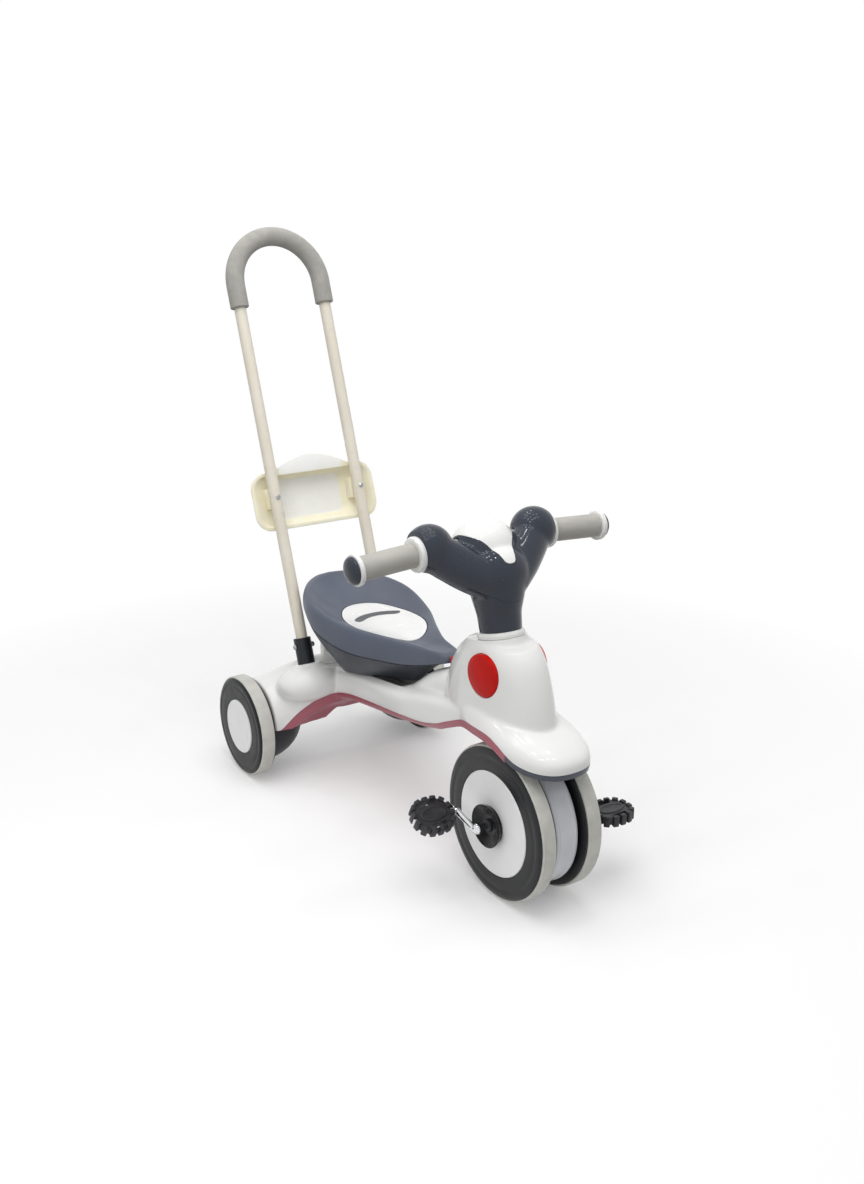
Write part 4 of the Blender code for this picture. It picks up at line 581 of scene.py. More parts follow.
def brimRing(inset, height, tilt, steps=64):
    ring = []
    front, back = bodyShell["brimFront"] + inset, bodyShell["brimBack"] - inset
    half, power = bodyShell["brimHalf"] - inset, bodyShell["brimPower"]
    for k in range(steps):
        c, s = math.cos(2 * math.pi * (k + 0.5) / steps), math.sin(2 * math.pi * (k + 0.5) / steps)
        y = abs(front if s < 0 else back) * math.copysign(abs(s) ** power, s)
        taper = 1 - bodyShell["brimTaper"] * max(y / back, 0) ** 2
        ring.append((half * math.copysign(abs(c) ** power, c) * taper, y, height + tilt * y))
    return ring


def bodyForm():
    rings = []
    for y, half, top in easedRows(bodyShell["spine"], 3):
        low = min(readLine(lowerLine, y), top - bodyShell["spineDepth"])
        foot = max(low - bodyShell["stripHeight"] - bodyShell["spineSkirt"], bodyShell["spineFoot"])
        outline = ovalRing(half, (top - foot) / 2, bodyShell["spinePower"])
        rings.append([(x, y, (top + foot) / 2 + up) for x, up in outline])
    spine = rollGrid("spine", rings)
    rings = []
    for height, half, front, back in easedRows(bodyShell["riser"], 3):
        outline = ovalRing(half, (back - front) / 2, bodyShell["riserPower"])
        rings.append([(x, (front + back) / 2 + y, height) for x, y in outline])
    riser = rollGrid("riser", rings)
    neck = placeIn(spinProfile("neck", bodyShell["neck"], 64, closed=False), columnPlace)
    brim = rollGrid("brim", [brimRing(*level) for level in easedRows(bodyShell["brim"], 3)])
    sections = [(-x, *rest) for x, *rest in bodyShell["pods"]] + [bodyShell["podMiddle"]]
    sections += list(reversed(bodyShell["pods"]))
    rings = []
    for x, y, z, deep, high in easedRows(sections, 3):
        rings.append([(x, y + along, z + up) for along, up in ovalRing(deep, high, bodyShell["podPower"])])
    pods = rollGrid("pods", rings)
    rings = []
    for y, half, top in easedRows(bodyShell["pedestal"], 3):
        outline = ovalRing(half, bodyShell["pedestalDepth"], bodyShell["pedestalPower"])
        rings.append([(x, y, top - bodyShell["pedestalDepth"] + up) for x, up in outline])
    pedestal = rollGrid("pedestal", rings)
    pieces = [spine, riser, neck, brim, pods, pedestal]
    start = socket["top"] - socket["length"] + socket["bossLift"]
    for name, sign in sides:
        boss = addRod("socketBoss", start, start + socket["bossTall"], socket["radius"] + socket["bossWall"])
        pieces.append(placeIn(boss, tubePlace(sign) @ upright))
        # The beam swells round the foot of each socket.
        shoulder = addBall("shoulder", (0, 0, socket["shoulder"]), socket["shoulderRadii"], 64)
        pieces.append(placeIn(shoulder, tubePlace(sign)))
    form = joinAll(pieces, "bodyForm")
    return blendForm(form, bodyShell["voxel"], bodyShell["relax"])


def gridYs(low, high):
    return sorted({round(y, 6) for y, _ in lowerLine if low < y < high} | {low, high})


form = bodyForm()
wideXs = [k * 0.01 for k in range(-20, 21)]
aboveBlock = reliefBlock("above", wideXs, gridYs(bodyShell["front"], bodyShell["back"]),
                         lambda x, y: bodyFoot(x, y) + gap, lambda x, y: bodyShell["aboveTop"])
stripBlock = reliefBlock("strip", wideXs, gridYs(bodyShell["stripFront"] + gap, bodyShell["stripEnd"]),
                         stripFoot, bodyFoot)
liningBlock = reliefBlock("lining", wideXs, gridYs(bodyShell["front"], bodyShell["stripFront"]),
                          lambda x, y: bodyFoot(x, y) - bodyShell["liningHeight"], bodyFoot)
wheelRoom = rollGrid("wheelRoom", [brimRing(bodyShell["lipWall"], height, 0)
                                   for height in (bodyShell["roomFoot"], bodyShell["roomTop"])])
print("body form melted")


# Seat outlines are needed early, because the shell is hollowed for the seat pan.

seat = {
    "roomGrow": 0.010, "roomShare": 1.02, "roomRise": 0.05, "panRim": 0.045, "panMouth": 0.94,
    "lip": 0.90, "lipHeight": 0.75, "lipFoot": 0.93,
    "outline": ((0.000, 0.168), (0.016, 0.178), (0.030, 0.235), (0.052, 0.290), (0.080, 0.355),
                (0.0935, 0.425), (0.085, 0.474), (0.058, 0.517), (0.027, 0.543), (0.000, 0.550)),
    "centre": 0.375, "nose": 0.168,
    "seam": ((0.168, 0.2770), (0.24, 0.2530), (0.30, 0.2470), (0.36, 0.2480), (0.42, 0.2600),
             (0.46, 0.2780), (0.52, 0.2950), (0.556, 0.3000)),
    "rim": ((0.168, 0.2880), (0.24, 0.2860), (0.30, 0.2870), (0.36, 0.2900), (0.42, 0.2970), (0.48, 0.3060),
            (0.52, 0.3110), (0.556, 0.3120)),
    "floor": 0.2735, "wall": 0.0042,
    "skirt": ((0.975, 0.0), (0.990, 0.05), (0.998, 0.16), (1.0, 0.32), (0.999, 0.50), (0.992, 0.68),
              (0.978, 0.83), (0.957, 0.94), (0.930, 0.99)),    # share of the outline, share of the wall's height
    "dish": ((0.905, 0.985), (0.885, 0.940), (0.862, 0.872), (0.84, 0.812), (0.80, 0.702), (0.75, 0.579),
             (0.69, 0.451), (0.62, 0.327), (0.54, 0.216), (0.45, 0.125), (0.35, 0.059), (0.25, 0.021),
             (0.15, 0.005), (0.05, 0.0)),              # share of the outline, share of the dish's depth
    "panFoot": 0.52, "panInset": 0.012, "panClear": 0.0008,
    "plateWidth": 0.110, "plateLength": 0.178, "plateY": 0.368, "plateThick": 0.0018, "plateProud": 0.0006,
    "groove": 0.0018, "grooveDeep": 0.0014,
    "stripe": ((-0.0340, 0.3940, 0.0130), (-0.0129, 0.4076, 0.0145), (0.0068, 0.4113, 0.0140),
               (0.0270, 0.4055, 0.0130), (0.0450, 0.3925, 0.0110)),     # x, y and width along the stripe
}
seamLine = easedRows(seat["seam"], 6)
rimLine = easedRows(seat["rim"], 6)
halfOutline = easedRows(seat["outline"], 8)
seatOutline = halfOutline + [[-x, y] for x, y in reversed(halfOutline[1:-1])]
seatBearings = sorted((math.atan2(x, seat["centre"] - y), math.hypot(x, y - seat["centre"]))
                      for x, y in seatOutline)
seatBearings = ([(seatBearings[-1][0] - 2 * math.pi, seatBearings[-1][1])] + seatBearings
                + [(seatBearings[0][0] + 2 * math.pi, seatBearings[0][1])])
dishLine = sorted([(share, part) for share, part in seat["dish"]] + [(0.93, 0.99), (0.0, 0.0)])


def seatHeight(x, y):
    share = math.hypot(x, y - seat["centre"]) / readLine(seatBearings, math.atan2(x, seat["centre"] - y))
    rim = readLine(rimLine, seat["centre"] + (y - seat["centre"]) / max(share, 0.3))
    return seat["floor"] + (rim - seat["floor"]) * readLine(dishLine, share)


def seatRing(share, height):
    middle = seat["centre"]
    return [(x * share, middle + (y - middle) * share, height((x, y))) for x, y in seatOutline]


def crownAt(point, part):
    low = readLine(seamLine, point[1])
    return low + (readLine(rimLine, point[1]) - low) * part


def dishAt(point, part):
    return seat["floor"] + (readLine(rimLine, point[1]) - seat["floor"]) * part


def panHeight(point, share):
    # The side walls fall early and the nose falls late.
    towards = max((seat["centre"] - point[1]) / (seat["centre"] - seat["nose"]), 0)
    low = readLine(seamLine, point[1])
    foot = deckAt(seat["centre"] + (point[1] - seat["centre"]) * seat["panFoot"]) + seat["panClear"]
    return low + (foot - low) * share ** (0.80 + 0.70 * towards ** 2)


def panRings(inset, lift, shares):
    return [seatRing(1 - (1 - seat["panFoot"]) * share - inset,
                     lambda p, share=share: panHeight(p, share) + lift) for share in shares]


def hingeRod(name, grow):
    reach = hinge["postHalf"] + gap + hinge["ear"] + 0.002
    rod = addRod(name, -reach, reach, hinge["pin"] + grow, 32)
    return placeIn(rod, Matrix.Translation((0, hinge["y"], hinge["z"])))


def pegPlace(sign):
    return Matrix.Translation((sign * peg["x"], peg["y"], deckAt(peg["y"]))) @ upright


# Body shell
room = panRings(seat["panInset"] - seat["roomGrow"], -seat["panClear"] / 2, [k / 10 for k in range(11)])
mouth = seatRing(seat["roomShare"], lambda p: readLine(seamLine, p[1]) + seat["roomRise"])
seatRoom = rollGrid("seatRoom", [mouth] + room)
shell = copyOf(form, "bodyShell")
post = addBlock("post", (-hinge["postHalf"], hinge["y"] - hinge["block"], hinge["postFoot"]),
                (hinge["postHalf"], hinge["y"] + hinge["block"],
                 hinge["z"] + hinge["block"] + hinge["postRise"]))
roundEdges(post, 0.002)
cutWith(shell, post, "UNION")
cutWith(shell, hingeRod("postHole", gap))
cutWith(shell, aboveBlock, "INTERSECT")
cutWith(shell, wheelRoom, keep=True)
cutWith(shell, reliefBlock("deck", [-bodyShell["deckHalf"], 0, bodyShell["deckHalf"]],
                           [bodyShell["deckStart"], bodyShell["deckEnd"]], lambda x, y: deckAt(y),
                           lambda x, y: bodyShell["cutTop"]))
cutWith(shell, seatRoom)
cutWith(shell, reliefBlock("tub", [-bodyShell["tubHalf"], 0, bodyShell["tubHalf"]],
                           gridYs(bodyShell["tubFront"], bodyShell["tubBack"]),
                           lambda x, y: bodyFoot(x, y) + bodyShell["tubWall"],
                           lambda x, y: bodyShell["cutTop"]))
pocketFront = button["front"] - button["travel"] - button["slack"]
cutWith(shell, addBlock("buttonPocket", (-button["half"] - gap, pocketFront, button["low"] - gap),
                        (button["half"] + gap, button["pocketBack"], button["high"] + gap)))
neckTop = addRod("neckTop", bodyShell["neckTop"], bodyShell["neckTop"] + 0.06, 0.06)
cutWith(shell, placeIn(neckTop, columnPlace))
columnHole = addRod("columnHole", 0, bodyShell["neckTop"] + 0.05, bodyShell["columnHole"])
cutWith(shell, placeIn(columnHole, columnPlace))


def lensPlace(sign):
    x, y, z = lens["place"]
    turn = -lens["turn"] if sign > 0 else math.pi + lens["turn"]
    return Matrix.Translation((sign * x, y, z)) @ Matrix.Rotation(turn, 4, "Z")


for name, sign in sides:
    hole = addRod("socketHole", socket["top"] - socket["length"] - gap, socket["top"], socket["radius"] + gap)
    cutWith(shell, placeIn(hole, tubePlace(sign) @ upright))
    pocket = addRod("lensPocket", -lens["depth"] - gap, 0.05, lens["radius"] + lens["clear"], 96)
    cutWith(shell, placeIn(pocket, lensPlace(sign)))
    cutWith(shell, placeIn(addRod("pegHole", -peg["hole"], 0.02, peg["radius"] + gap, 32), pegPlace(sign)))
finishPiece(shell, bodyPlace, "frame", ["body_shell"], glossWhite)
print("body shell done")

# Rose strip and slate lining
strip = copyOf(form, "roseStrip")
cutWith(strip, stripBlock, "INTERSECT")
cutWith(strip, wheelRoom, keep=True)
cutWith(strip, placeIn(addRod("bushHole", 0, 0.2, bodyShell["bushHole"] + gap), columnPlace))
finishPiece(strip, bodyPlace, "frame", ["belly_pan"], dustyRose)
lining = form
lining.name = "fenderLining"
cutWith(lining, liningBlock, "INTERSECT")
cutWith(lining, wheelRoom)
finishPiece(lining, bodyPlace, "frame", ["fender_liner"], linerSlate)
print("strip and lining done")

# Rear axle covers: quarters of a smooth dome
rearCover = {"front": 0.42, "back": 0.64,
             "end": 0.148, "start": 0.05, "reach": 0.073, "radius": 0.063, "top": 0.090}
for name, sign in sides:
    dome = addBall(f"rearCover{name.title()}",
                   (sign * rearCover["end"], tricycle["wheelbase"], tricycle["rearRadius"]),
                   (rearCover["reach"], rearCover["radius"], rearCover["radius"]), 72)
    xs = sorted((sign * rearCover["start"], sign * rearCover["end"]))
    keep = addBlock("coverKeep", (xs[0], rearCover["front"], 0.0),
                    (xs[1], rearCover["back"], rearCover["top"]))
    cutWith(dome, keep, "INTERSECT")
    roundEdges(dome, 0.0012, 3, 50)
    finishPiece(dome, bodyPlace, "frame", [f"rear_cover_{name}"], darkNylon)

# Neck ring, lens domes and latch button
ringProfile = [(0.2503, 0.0113), (0.2503, 0.0330), (0.2545, 0.0331), (0.2570, 0.0318), (0.2585, 0.0300),
               (0.2585, 0.0113)]
neckRing = spinProfile("neckRing", softLine(ringProfile, 0.0009), 96)
finishPiece(neckRing, uprightPlace, "frame", ["neck_ring"], glossWhite)
dome = [(lens["rim"] + lens["dome"] * math.cos(a), lens["radius"] * math.sin(a))
        for a in (k * math.pi / 24 for k in range(12))]
lensProfile = [(-lens["depth"], 0), (-lens["depth"], lens["radius"]), (lens["rim"], lens["radius"]),
               (0.0006, lens["radius"] * 0.995)] + list(reversed(dome))
for name, sign in sides:
    glass = spinProfile(f"lens{name.title()}", lensProfile, 96, closed=False)
    finishPiece(glass, bodyPlace @ lensPlace(sign), "frame", [f"lens_{name}"], redLens, 50)
latch = addBlock("latchButton", (-button["half"], button["front"], button["low"]),
                 (button["half"], button["back"], button["high"]))
roundEdges(latch, 0.0022, 5)
finishPiece(latch, bodyPlace, "button", ["latch_button"], redLens, 50)
print("body trim done")


# Seat

rings = [seatRing(share, lambda p, part=part: crownAt(p, part) + (gap if part == 0 else 0))
         for share, part in seat["skirt"]]
rings += [seatRing(share, lambda p, part=part: dishAt(p, part)) for share, part in seat["dish"]]
rings.append(seatRing(0, lambda p: seat["floor"]))
rings.append(seatRing(0, lambda p: seat["floor"] - seat["wall"]))
rings += [seatRing(share, lambda p, part=part: dishAt(p, part) - seat["wall"])
          for share, part in reversed(seat["dish"][3:])]
rings.append(seatRing(seat["lip"], lambda p: crownAt(p, seat["lipHeight"])))
rings.append(seatRing(seat["lipFoot"], lambda p: crownAt(p, 0) + gap))
seatTop = rollGrid("seatTop", rings, closed=True)


def platePiece(name, grow, low, high):
    # Oval plate that follows the dish, between two heights over the seat.
    def level(share, offset):
        ring = []
        for k in range(96):
            a = 2 * math.pi * (k + 0.5) / 96
            x = (seat["plateWidth"] / 2 + grow) * share * math.sin(a)
            y = seat["plateY"] + (seat["plateLength"] / 2 + grow) * share * math.cos(a)
            ring.append((x, y, seatHeight(x, y) + offset))
        return ring

    shares = [k / 10 for k in range(11)]
    return rollGrid(name, [level(s, low) for s in shares] + [level(s, high) for s in reversed(shares)])


cutWith(seatTop, platePiece("recess", seat["groove"], -seat["plateThick"] - seat["grooveDeep"], 0.02))
finishPiece(seatTop, bodyPlace, "seat", ["seat_top"], seatSlate, 40)
plate = platePiece("seatPlate", 0, -seat["plateThick"], seat["plateProud"])
roundEdges(plate, 0.0004, 2, 50)
finishPiece(plate, bodyPlace, "seat", ["seat_insert"], plateWhite, 40)

stripeRows = easedRows(seat["stripe"], 6)
rings = []
for index, (x, y, width) in enumerate(stripeRows):
    before, after = stripeRows[max(index - 1, 0)], stripeRows[min(index + 1, len(stripeRows) - 1)]
    along = Vector((after[0] - before[0], after[1] - before[1])).normalized()
    ends = min(index, len(stripeRows) - 1 - index)
    half = width / 2 * (0.45, 0.86, 1.0)[min(ends, 2)]
    ring = []
    for side, lift in ((-1, 0.0002), (-0.5, 0.00035), (0, 0.0004), (0.5, 0.00035), (1, 0.0002), (0, 0.0)):
        px, py = x - along.y * half * side, y + along.x * half * side
        ring.append((px, py, seatHeight(px, py) + seat["plateProud"] + lift))
    rings.append(ring)
stripe = rollGrid("seatStripe", rings)
placeIn(stripe, bodyPlace)
bpy.ops.object.shade_smooth_by_angle(angle=math.radians(50))
stripe.data.materials.append(stripeGrey)
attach(stripe, "seat")

shares = [k / 12 for k in range(13)]
rings = panRings(seat["panInset"], 0, shares)
rings.append(seatRing(0, lambda p: deckAt(seat["centre"]) + seat["panClear"]))
rings.append(seatRing(0, lambda p: deckAt(seat["centre"]) + seat["panClear"] + seat["wall"]))
rings += panRings(seat["panInset"] + seat["panRim"], seat["wall"], list(reversed(shares[1:])))
rings.append(seatRing(seat["panMouth"], lambda p: readLine(seamLine, p[1])))
pan = rollGrid("seatPan", rings, closed=True)
for name, sign in sides:
    knob = addRod("peg", -peg["deep"], peg["root"], peg["radius"], 32)
    cutWith(pan, placeIn(knob, pegPlace(sign)), "UNION")
    xs = sorted(sign * (hinge["postHalf"] + gap + width) for width in (0, hinge["ear"]))
    ear = addBlock("ear", (xs[0], hinge["y"] - hinge["earFront"], hinge["z"] - hinge["block"]),
                   (xs[1], hinge["y"] + hinge["block"], hinge["z"] + hinge["block"]))
    roundEdges(ear, 0.0015)
    cutWith(pan, ear, "UNION")
cutWith(pan, hingeRod("earHole", gap))
# The pan takes the darker slate, which is painted shade and not a colour of its own.
finishPiece(pan, bodyPlace, "seat", ["seat_pan"], panSlatePaintedShade, 40)
print("seat done")


# Push bar, foam sleeve, sockets and backrest, drawn upright and then leaned back

pushBar = {"radius": 0.0095, "foot": -0.283, "arcTop": 0.4227, "foamStart": 0.3088, "foamRadius": 0.015}


def hoopTube(name, radius, foot, steps, endRounding):
    # A circle spun over the arc, then both open ends extruded down the legs and capped.
    half = tricycle["pushHalf"]
    top = pushBar["arcTop"] - half
    clearSelection()
    bpy.ops.mesh.primitive_circle_add(vertices=steps, radius=radius, location=(-half, 0, top))
    piece = bpy.context.object
    piece.name = name
    workOn(piece)
    bpy.ops.mesh.spin(steps=40, angle=-math.pi, center=(0, 0, top), axis=(0, 1, 0))
    bpy.ops.object.mode_set(mode="OBJECT")
    bpy.ops.object.transform_apply(location=True, rotation=True, scale=True)
    workOn(piece)
    bpy.ops.mesh.select_all(action="DESELECT")
    bpy.ops.mesh.select_mode(type="EDGE")
    bpy.ops.mesh.select_non_manifold()
    bpy.ops.mesh.extrude_region_move(TRANSFORM_OT_translate={"value": (0, 0, foot - top)})
    bpy.ops.mesh.select_mode(type="VERT")
    bpy.ops.object.mode_set(mode="OBJECT")
    closeUp(piece)
    if endRounding:
        roundEdges(piece, endRounding, 5, 60)
    return piece


hoop = hoopTube("pushBar", pushBar["radius"], pushBar["foot"], 48, 0)
finishPiece(hoop, pushPlace, "frame", ["push_bar"], creamEnamel)
sleeve = hoopTube("foamGrip", pushBar["foamRadius"], pushBar["foamStart"], 64, 0.0022)
finishPiece(sleeve, pushPlace, "frame", ["foam_grip"], foamGrey)


def cutCross(piece, low, high, turn):
    # A cross slit in the head of a screw or bolt.
    for angle in (turn, turn + math.pi / 2):
        cutWith(piece, placeIn(addBlock("slit", low, high), Matrix.Rotation(angle, 4, "X")))


innerRadius = pushBar["radius"] + gap
low, high, wide = socket["top"] - socket["length"], socket["top"], socket["radius"]
socketProfile = softLine([(low, innerRadius), (low, wide), (high - 0.020, wide),
                          (high - 0.019, wide - 0.0004), (high - 0.0185, wide), (high, wide),
                          (high, innerRadius)], 0.0008)
boltAt = socket["radius"] + gap
boltProfile = [(-boltAt - 0.005, 0), (-boltAt - 0.005, socket["boltRadius"]), (boltAt, socket["boltRadius"]),
               (boltAt, 0.0045), (boltAt + 0.0010, 0.0045), (boltAt + 0.0022, 0.0038),
               (boltAt + 0.0029, 0.0022), (boltAt + 0.0030, 0)]
nutProfile = [(-boltAt - 0.004, 0.0027), (-boltAt - 0.004, 0.0045), (-boltAt, 0.0045), (-boltAt, 0.0027)]
for name, sign in sides:
    place = pushPlace @ Matrix.Translation((sign * tricycle["pushHalf"], 0, 0))
    cup = spinProfile(f"socket{name.title()}", socketProfile, 64)
    finishPiece(cup, place @ upright, "frame", [f"socket_{name}"], darkNylon)
    spot = bodyPlace.inverted() @ pushPlace @ Vector((sign * tricycle["pushHalf"], 0, socket["bolt"]))
    place = bodyPlace @ Matrix.Translation(spot) @ Matrix.Rotation(0 if sign > 0 else math.pi, 4, "Z")
    bolt = spinProfile(f"socketBolt{name.title()}", boltProfile, 40, closed=False)
    cutCross(bolt, (boltAt + 0.0016, -0.0005, -0.0026), (boltAt + 0.006, 0.0005, 0.0026), 0)
    finishPiece(bolt, place, "frame", [f"socket_bolt_{name}"], zincSteel)
    nut = spinProfile(f"socketNut{name.title()}", nutProfile, 6)
    roundEdges(nut, 0.0003, 2, 40)
    finishPiece(nut, place, "frame", [f"socket_nut_{name}"], zincSteel)

start = innerRadius
screwProfile = [(-start - 0.0026, 0), (-start - 0.0025, 0.0014), (-start - 0.0019, 0.0030),
                (-start - 0.0008, 0.0041), (-start, 0.0042), (-start, 0.0020), (start + 0.010, 0.0020),
                (start + 0.010, 0)]
for name, sign in sides:
    screw = spinProfile(f"backrestScrew{name.title()}", screwProfile, 40, closed=False)
    cutCross(screw, (-start - 0.006, -0.0006, -0.0027), (-start - 0.0011, 0.0006, 0.0027), 0.4)
    place = pushPlace @ Matrix.Translation((sign * tricycle["pushHalf"], 0, 0))
    finishPiece(screw, place @ Matrix.Rotation(math.pi / 2, 4, "Z"), "frame", [f"backrest_screw_{name}"],
                zincSteel)
print("push bar done")

backrest = {
    "outline": {"half": 0.112, "low": -0.052, "high": 0.042, "corner": 0.026},
    "panel": {"half": 0.058, "low": -0.034, "high": 0.030, "corner": 0.010},
    "middle": {"half": 0.0005, "low": -0.0005, "high": 0.0005, "corner": 0.0004},
    "arch": 0.023, "archHalf": 0.072, "depth": 0.025, "wall": 0.003, "rim": 0.006,
    "padHalf": (0.009, 0.017), "padDeep": 0.020,
}


def roundedOutline(half, low, high, corner, behind, arch=0.0, steps=10):
    # Outline in the push bar's plane, with an arch on its top edge.
    ring = []
    for quarter, (cx, cz) in enumerate(((1, 1), (-1, 1), (-1, -1), (1, -1))):
        for k in range(steps + 1):
            a = math.pi / 2 * (quarter + k / steps)
            ring.append((cx * (half - corner) + corner * math.cos(a), behind,
                         (high - corner if cz > 0 else low + corner) + corner * math.sin(a)))
        if quarter == 0:
            for k in range(1, 24):
                x = (half - corner) * (1 - k / 12)
                rise = math.cos(min(abs(x) / backrest["archHalf"], 1) * math.pi / 2)
                ring.append((x, behind, high + arch * rise))
    return ring


def grown(size, by):
    return {"half": size["half"] + by, "low": size["low"] - by, "high": size["high"] + by,
            "corner": size["corner"] + by}


wall, deep = backrest["wall"], start + backrest["depth"]
outer, panelSize, middle = backrest["outline"], backrest["panel"], backrest["middle"]
dishSize = grown(outer, -backrest["rim"])
rings = [roundedOutline(**middle, behind=deep), roundedOutline(**panelSize, behind=deep),
         roundedOutline(**dishSize, behind=start),
         roundedOutline(**outer, behind=start, arch=backrest["arch"]),
         roundedOutline(**outer, behind=start + wall, arch=backrest["arch"]),
         roundedOutline(**grown(dishSize, wall), behind=start + wall),
         roundedOutline(**panelSize, behind=deep + wall), roundedOutline(**middle, behind=deep + wall)]
rest = rollGrid("backrest", rings)
roundEdges(rest, 0.0009, 3, 25)
for name, sign in sides:
    x = sign * tricycle["pushHalf"]
    padX, padZ = backrest["padHalf"]
    pad = addBlock("pad", (x - padX, start, -padZ), (x + padX, start + backrest["padDeep"], padZ))
    roundEdges(pad, 0.0012)
    cutWith(rest, pad, "UNION")
rest.data.materials.clear()
rest.data.materials.append(milkyWall)
rest.data.materials.append(milkyPanel)
for face in rest.data.polygons:
    x, y, z = face.center
    onPanel = y > deep - 0.0008 and abs(x) < panelSize["half"] + 0.001
    onArch = z > outer["high"] + 0.001
    face.material_index = 1 if onPanel or onArch else 0
finishPiece(rest, pushPlace, "frame", ["backrest"], None, 30)
print("backrest done")


# Wheels

frontWheel = {
    "column": (0.0577, 0.14, 0.0113),
    "inner": 0.0235, "bore": 0.0063, "discSeat": 0.0265,
    "core": ((0.0285, 0.0755), (0.0288, 0.0850), (0.0287, 0.0915), (0.0283, 0.0930), (0.0289, 0.0960),
             (0.0290, 0.0985), (0.0287, 0.1015), (0.0279, 0.1043), (0.0266, 0.1063), (0.0255, 0.1072),
             (0.0255, 0.1000), (0.0035, 0.1000), (0.0035, 0.1070), (0.0012, 0.1060), (0.0002, 0.1035),
             (0.0000, 0.0985), (0.0008, 0.0930), (0.0004, 0.0915), (0.0004, 0.0500), (0.0000, 0.0480)),
    "tread": ((0.0038, 0.1003), (0.0038, 0.1080), (0.0046, 0.1092), (0.0058, 0.1098), (0.0070, 0.1096),
              (0.0078, 0.1099), (0.0145, 0.1100), (0.0212, 0.1099), (0.0220, 0.1096), (0.0232, 0.1098),
              (0.0244, 0.1092), (0.0252, 0.1080), (0.0252, 0.1003)),
    "disc": ((0.0268, 0.0063), (0.0268, 0.0744), (0.0279, 0.0746), (0.0290, 0.0735), (0.0293, 0.0690),
             (0.0300, 0.0447), (0.0302, 0.0330), (0.0302, 0.0063)),
    "cup": ((0.0540, 0.0048), (0.0540, 0.0265), (0.0580, 0.0278), (0.0612, 0.0297), (0.0635, 0.0305),
            (0.0650, 0.0302), (0.0655, 0.0292), (0.0650, 0.0281), (0.0640, 0.0270), (0.0570, 0.0150),
            (0.0565, 0.0110), (0.0570, 0.0085), (0.0590, 0.0083), (0.0600, 0.0076), (0.0600, 0.0048)),
    "drum": ((-0.0205, 0.0063), (-0.0205, 0.0910), (-0.0190, 0.0945), (-0.0175, 0.0965), (-0.0150, 0.0972),
             (-0.0120, 0.0970), (-0.0105, 0.0958), (0.0105, 0.0958), (0.0120, 0.0970), (0.0150, 0.0972),
             (0.0175, 0.0965), (0.0190, 0.0945), (0.0205, 0.0910), (0.0205, 0.0063)),
    "bossRadius": 0.0185, "bossStart": 0.048, "bossTop": 0.113,
}
rearWheel = {
    "inner": 0.152,
    "core": ((0.0285, 0.0455), (0.0289, 0.0600), (0.0287, 0.0660), (0.0283, 0.0675), (0.0289, 0.0705),
             (0.0290, 0.0725), (0.0287, 0.0750), (0.0280, 0.0772), (0.0268, 0.0788), (0.0262, 0.0794),
             (0.0262, 0.0730), (0.0038, 0.0730), (0.0038, 0.0794), (0.0012, 0.0780), (0.0002, 0.0755),
             (0.0000, 0.0720), (0.0000, 0.0063), (0.0262, 0.0063), (0.0262, 0.0455)),
    "tread": ((0.0041, 0.0733), (0.0041, 0.0802), (0.0050, 0.0813), (0.0062, 0.0818), (0.0074, 0.0817),
              (0.0082, 0.0819), (0.0150, 0.0820), (0.0218, 0.0819), (0.0226, 0.0817), (0.0238, 0.0818),
              (0.0250, 0.0813), (0.0259, 0.0802), (0.0259, 0.0733)),
    "cap": ((0.0265, 0.0), (0.0265, 0.0440), (0.0290, 0.0441), (0.0302, 0.0430), (0.0308, 0.0350),
            (0.0315, 0.0264), (0.0320, 0.0120), (0.0321, 0.0)),
}

frontBodies = {"left": "front_wheels", "right": "front_wheels"}
core = spinProfile("frontCore", [(x + frontWheel["inner"], r) for x, r in (
    *frontWheel["core"], (0.0000, frontWheel["bore"]), (frontWheel["discSeat"], frontWheel["bore"]),
    (frontWheel["discSeat"], 0.0755))], 160)
finishPair(core, "frontCore", axlePlace, frontBodies, "front_core", frontSidewall)
for part, finish in (("tread", treadFoam), ("disc", discWhite)):
    profile = [(x + frontWheel["inner"], r) for x, r in frontWheel[part]]
    ring = spinProfile(f"front{part.title()}", profile, 160)
    finishPair(ring, f"front{part.title()}", axlePlace, frontBodies, f"front_{part}",
               finish)
cup = spinProfile("hubCup", softLine(frontWheel["cup"], 0.0006), 96)
finishPair(cup, "hubCup", axlePlace, frontBodies, "hub_cone", hubBlack)

drum = spinProfile("drum", frontWheel["drum"], 160)
placeIn(drum, Matrix.Rotation(tricycle["rake"], 4, "X"))
boss = addRod("boss", frontWheel["bossStart"], frontWheel["bossTop"], frontWheel["bossRadius"], 64)
cutWith(drum, placeIn(boss, upright), "UNION")
cutWith(drum, placeIn(addRod("columnHole", *frontWheel["column"], 48), upright))
roundEdges(drum, 0.0006, 2, 50)
finishPiece(drum, steerPlace, "steering", ["fork_housing"], drumGrey)

rearBodies = {"left": "rear_wheel_l", "right": "rear_wheel_r"}
for part, finish, slotName in (("core", rearSidewall, "sidewall_black"), ("tread", treadFoam, "tread_grey"),
                               ("cap", discWhite, "disc_white")):
    profile = [(x + rearWheel["inner"], r) for x, r in rearWheel[part]]
    ring = spinProfile(f"rear{part.title()}", profile, 144, closed=part != "cap")
    finishPair(ring, f"rear{part.title()}", rearPlace, rearBodies, f"rear_{part}", finish)
print("wheels done")


# Cranks and pedals

